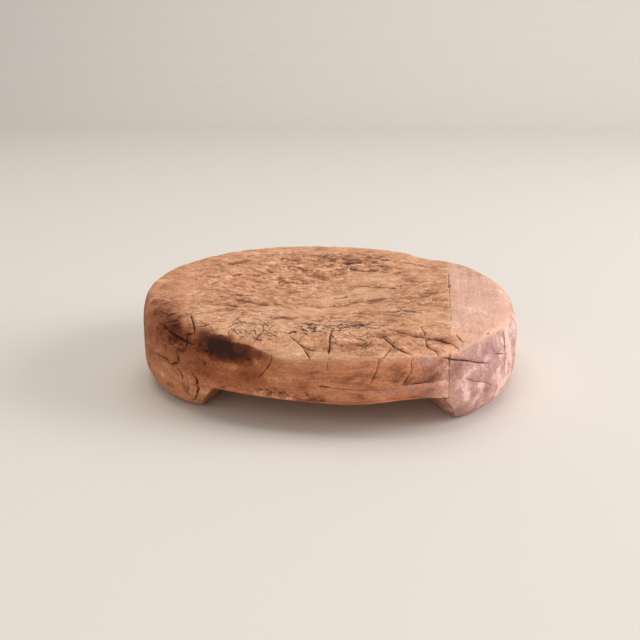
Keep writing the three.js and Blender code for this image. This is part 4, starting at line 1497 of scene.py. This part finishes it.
# base tone: broad patches and streaks, from plain wood to the warm and deep tones, which paint shade on the
# side faces and the left, and to pink, which paints the window light on the right; then mauve, partly painted
# window light, with the painted highlight of the pale layer; then threads, grit and, where the top is
# chopped, lumps
def baseTone(tree, place, look, fibre):
    chop = layer(tree, "chop")
    broad = times(tree, pattern(tree, place, "broad"), weights["broad"])
    amount = timesPlus(tree, fibre["Streak"], weights["streak"], broad)
    colour = toneBlend(tree, amount, "plain")
    for key in ("warmAndShade", "deep", "pinkAndWindowLight"):
        colour = blend(tree, layer(tree, key), colour, toneBlend(tree, amount, key))
    mottle = pattern(tree, place, "mottle")
    # the pale layer lifts the mauve tone a little everywhere and more on the right end's steep faces: painted
    # highlight where they face the window
    mottle = calc(tree, "ADD", mottle, timesPlus(tree, layer(tree, "pale"), *weights["pale"]))
    colour = blend(tree, layer(tree, "mauve"), colour, toneBlend(tree, mottle, "mauve"))
    thread = ramp(tree, "thread", fibre["Thread"])
    lines = timesPlus(tree, chop, weights["linesOnChop"], look["lines"])
    colour = tinted(tree, colour, "thread", lines, thread)
    grit = ramp(tree, "grit", pattern(tree, place, "grit"))
    colour = tinted(tree, colour, "grit", weights["grit"], grit)
    lumps = ramp(tree, "lumps", pattern(tree, place, "lumps"))
    colour = tinted(tree, colour, "lumps", times(tree, chop, weights["lumps"]), lumps)
    return colour, thread, grit, lumps


# stains and the painted shade of the stain layer, then the marks that chopping and wear leave, then pale
# plates and the painted highlight along the crease, then pale flakes and dark specks
def wornTone(tree, place, colour, grit):
    chop = layer(tree, "chop")
    slanted = rotated(tree, place, math.radians(weights["slant"]), "Y_AXIS")
    ragged = calc(tree, "SUBTRACT", pattern(tree, slanted, "ragged"), 0.5)
    for key, spread in weights["ragged"].items():
        amount = timesPlus(tree, ragged, spread, layer(tree, key))
        amount = times(tree, ramp(tree, key, amount), ramp(tree, "patchEdge", layer(tree, key)))
        colour = darkened(tree, colour, key, amount)
    colour = darkened(tree, colour, "torn", layer(tree, "torn"))
    blotch = ramp(tree, "blotch", pattern(tree, place, "blotch"))
    colour = darkened(tree, colour, "blotch", times(tree, blotch, chop))
    nick = pitKinds["nick"]
    nick = pitsOf(tree, "nick", scaled(tree, place, nick["stretch"]), nick["level"])
    colour = darkened(tree, colour, "nick", times(tree, nick, chop))
    for key in ("gouge", "tear"):
        colour = darkened(tree, colour, key, ramp(tree, key, layer(tree, key)))
    dent = timesPlus(tree, grit, weights["dentGrit"], times(tree, layer(tree, "dent"), weights["dent"]))
    colour = darkened(tree, colour, "dent", ramp(tree, "dent", dent))
    # pale plates, and the painted highlight along the crease, laid in the flake colour
    for key in ("plate", "ridgeHighlight"):
        colour = covered(tree, colour, key, layer(tree, key))
    shifted = vector(tree, "ADD", place, pitKinds["flake"]["shift"])
    level = timesPlus(tree, layer(tree, "flakes"), *pitKinds["flake"]["level"])
    flake = pitsOf(tree, "flake", shifted, level)
    flaking = larger(tree, layer(tree, "flakes"), times(tree, chop, weights["flakeOnChop"]))
    colour = covered(tree, colour, "flake", times(tree, flake, flaking))
    level = timesPlus(tree, layer(tree, "specks"), *pitKinds["speck"]["level"])
    speck = pitsOf(tree, "speck", scaled(tree, place, pitKinds["speck"]["stretch"]), level)
    speck = times(tree, speck, larger(tree, chop, layer(tree, "specks")))
    return covered(tree, colour, "speck", speck), blotch, speck


# knife cuts: all sheets, thin on the chopped top and full on its patches, with the strokes cut into the mesh
def knifeTone(tree, place, colour):
    cuts = 0.0
    for seed, cell, width in knife["sheets"]:
        sheet = {"Vector": place, "Cell": cell, "Width": width, "Spread": knife["spread"], "Seed": seed}
        cuts = larger(tree, cuts, useGroup(tree, knifeCuts, sheet)["Cut"])
    sparse = ramp(tree, "sparse", pattern(tree, place, "sparse"))
    sparse = times(tree, sparse, times(tree, layer(tree, "chop"), knife["onChop"]))
    cuts = times(tree, cuts, larger(tree, sparse, layer(tree, "cuts")))
    cuts = larger(tree, cuts, times(tree, ramp(tree, "stroke", layer(tree, "stroke")), knife["stroke"]))
    return covered(tree, colour, "knifeCut", cuts), cuts


# burnt knot, then cracks with a browned edge and a dark core, partly painted shade in the gap: darker the
# deeper the crack
def crackedTone(tree, place, colour, grit, lumps):
    burn = calc(tree, "SUBTRACT", pattern(tree, place, "burn"), 0.5)
    burn = timesPlus(tree, burn, weights["burn"], layer(tree, "char"))
    burn = times(tree, burn, ramp(tree, "charEdge", layer(tree, "char")))
    for key in ("burntEdge", "burntCore"):
        colour = covered(tree, colour, key, ramp(tree, key, burn))
    across = calc(tree, "ABSOLUTE", layer(tree, "crackAcross"))
    gap = calc(tree, "DIVIDE", across, larger(tree, layer(tree, "crackHalf"), weights["leastHalf"]))
    gap = timesPlus(tree, grit, weights["crackGrit"], gap)
    parted = ramp(tree, "parted", layer(tree, "crackHalf"))
    crack = times(tree, ramp(tree, "crack", gap), parted)
    beside = times(tree, ramp(tree, "crackSide", gap), parted)
    colour = darkened(tree, colour, "crackSide", beside)
    # painted shade: the crack's core darker the deeper the crack, and a little lighter on the lumps
    shade = larger(tree, ramp(tree, "crackDepth", layer(tree, "crackDepth")), weights["leastShade"])
    shade = times(tree, shade, timesPlus(tree, lumps, weights["shadeLumps"], 1.0))
    return covered(tree, colour, "crack", times(tree, crack, shade)), crack


def woodFinish(name, look):
    material, tree, place = newMaterial(name + "Wood")
    fibre = grainFibres(tree, place, look)
    colour, thread, grit, lumps = baseTone(tree, place, look, fibre)
    colour, blotch, speck = wornTone(tree, place, colour, grit)
    colour, cuts = knifeTone(tree, place, colour)
    colour, crack = crackedTone(tree, place, colour, grit, lumps)
    height = times(tree, grit, weights["gritHeight"])
    height = timesPlus(tree, fibre["Thread"], weights["threadHeight"], height)
    height = timesPlus(tree, cuts, weights["cutHeight"], height)
    height = timesPlus(tree, speck, weights["speckHeight"], height)
    height = timesPlus(tree, blotch, times(tree, layer(tree, "chop"), weights["blotchHeight"]), height)
    height = calc(tree, "SUBTRACT", height, crack)
    smooth = weights["smoothThread"]
    finishMaterial(tree, colour, timesPlus(tree, thread, -smooth, look["rough"] + smooth), height, "wood")
    return material


# pegs: end grain rings round the axis on the ends, fine streaks along the shaft
def pegFinish():
    material, tree, place = newMaterial("pegWood")
    streak = pattern(tree, place, "pegStreak")
    colour = toneBlend(tree, streak, "peg")
    rings = ramp(tree, "rings", pattern(tree, place, "pegRings"))
    colour = covered(tree, colour, "pegEnd", times(tree, layer(tree, "endGrain"), rings))
    finishMaterial(tree, colour, timesPlus(tree, streak, *weights["pegRough"]), streak, "peg")
    return material


finishes = {key: woodFinish(key, look) for key, look in looks.items()}
finishes["peg"] = pegFinish()
nodeNames = {"slab": "slab", "leftCleat": "left_cleat", "rightCleat": "right_cleat"}
for endName in ends:
    for place in pegPlaces:
        nodeNames[endName + "Peg" + place.capitalize()] = endName + "_peg_" + place
for name, piece in pieces.items():
    key = name if name in looks else "peg"
    piece.data.materials.append(finishes[key])
    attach(piece, "root")
    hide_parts(nodeNames[name])
print("finished", len(finishes), "woods on", len(pieces), "pieces")

# floor and backdrop in metres: one sheet that runs level, then curves up behind
stage = {"half": 1.7, "front": -3.0, "bend": 1.6, "radius": 0.7, "height": 2.4, "steps": 24,
         "colour": (0.88, 0.86, 0.83), "rough": 0.8}


# stage: a line across, carried along the floor, round a quarter circle and up
def stageGrid():
    turn = np.linspace(0.0, 0.5 * math.pi, stage["steps"])
    ys = np.concatenate([[stage["front"], 0.0], stage["bend"] + stage["radius"] * np.sin(turn),
                         [stage["bend"] + stage["radius"]]])
    zs = np.concatenate([[0.0, 0.0], stage["radius"] * (1.0 - np.cos(turn)), [stage["height"]]])
    xs = np.array([-stage["half"], stage["half"]])
    return np.stack(np.broadcast_arrays(xs[None], ys[:, None], zs[:, None]), axis=-1)


grid = stageGrid()
rows = grid.shape[0]
index = np.arange(2 * rows).reshape(rows, 2)
quads = np.stack([index[:-1, 0], index[:-1, 1], index[1:, 1], index[1:, 0]], axis=-1)
floorMesh = bpy.data.meshes.new("floor")
floorMesh.from_pydata(grid.reshape(-1, 3).tolist(), [], quads.tolist())
floor = bpy.data.objects.new("floor", floorMesh)
bpy.context.scene.collection.objects.link(floor)
floorLook = bpy.data.materials.new("paleFloor")
floorLook.use_nodes = True
floorShader = floorLook.node_tree.nodes["Principled BSDF"]
floorShader.inputs["Base Color"].default_value = paint(*stage["colour"])
floorShader.inputs["Roughness"].default_value = stage["rough"]
floorMesh.materials.append(floorLook)

# soft lamps: place and size in metres, power in watts
lamps = {
    "window": {"place": (2.3, 0.1, 0.95), "size": 1.4, "power": 50.0, "colour": (0.98, 0.95, 1.0)},
    "overhead": {"place": (-0.2, 0.4, 2.2), "size": 2.0, "power": 23.0, "colour": (1.0, 0.96, 0.92)},
    "room": {"place": (-0.3, -2.4, 1.1), "size": 2.2, "power": 21.0, "colour": (1.0, 0.93, 0.86)},
}
for name, lamp in lamps.items():
    light = bpy.data.lights.new(name, "AREA")
    light.size = lamp["size"]
    light.energy = lamp["power"]
    light.color = lamp["colour"]
    lampObject = bpy.data.objects.new(name, light)
    lampObject.location = lamp["place"]
    lampObject.rotation_euler = Vector(lamp["place"]).to_track_quat("Z", "Y").to_euler()
    bpy.context.scene.collection.objects.link(lampObject)

# surroundings: dim light for the board, and a pale backdrop where the camera looks past the floor
room = {"light": (0.33, 0.32, 0.307, 1.0), "seen": (0.66, 0.62, 0.57, 1.0)}
world = bpy.data.worlds.new("room")
world.use_nodes = True
seen = addNode(world.node_tree, "LightPath", {}).outputs["Is Camera Ray"]
backdrop = world.node_tree.nodes["Background"]
world.node_tree.links.new(blend(world.node_tree, seen, room["light"], room["seen"]), backdrop.inputs["Color"])
bpy.context.scene.world = world

camera = bpy.data.cameras.new("photoCamera")
camera.sensor_width = shot["sensor"]
camera.lens = shot["sensor"] * shot["focal"] / shot["frame"]
cameraObject = bpy.data.objects.new("photoCamera", camera)
bpy.context.scene.collection.objects.link(cameraObject)
axes = np.column_stack([photoRight, photoUp, -photoForward, eye * mm])
cameraObject.matrix_world = Matrix(np.vstack([axes, [0.0, 0.0, 0.0, 1.0]]).tolist())
bpy.context.scene.camera = cameraObject
bpy.context.scene.view_settings.view_transform = "Standard"
bpy.context.view_layer.update()
print("lit by", len(lamps), "lamps")
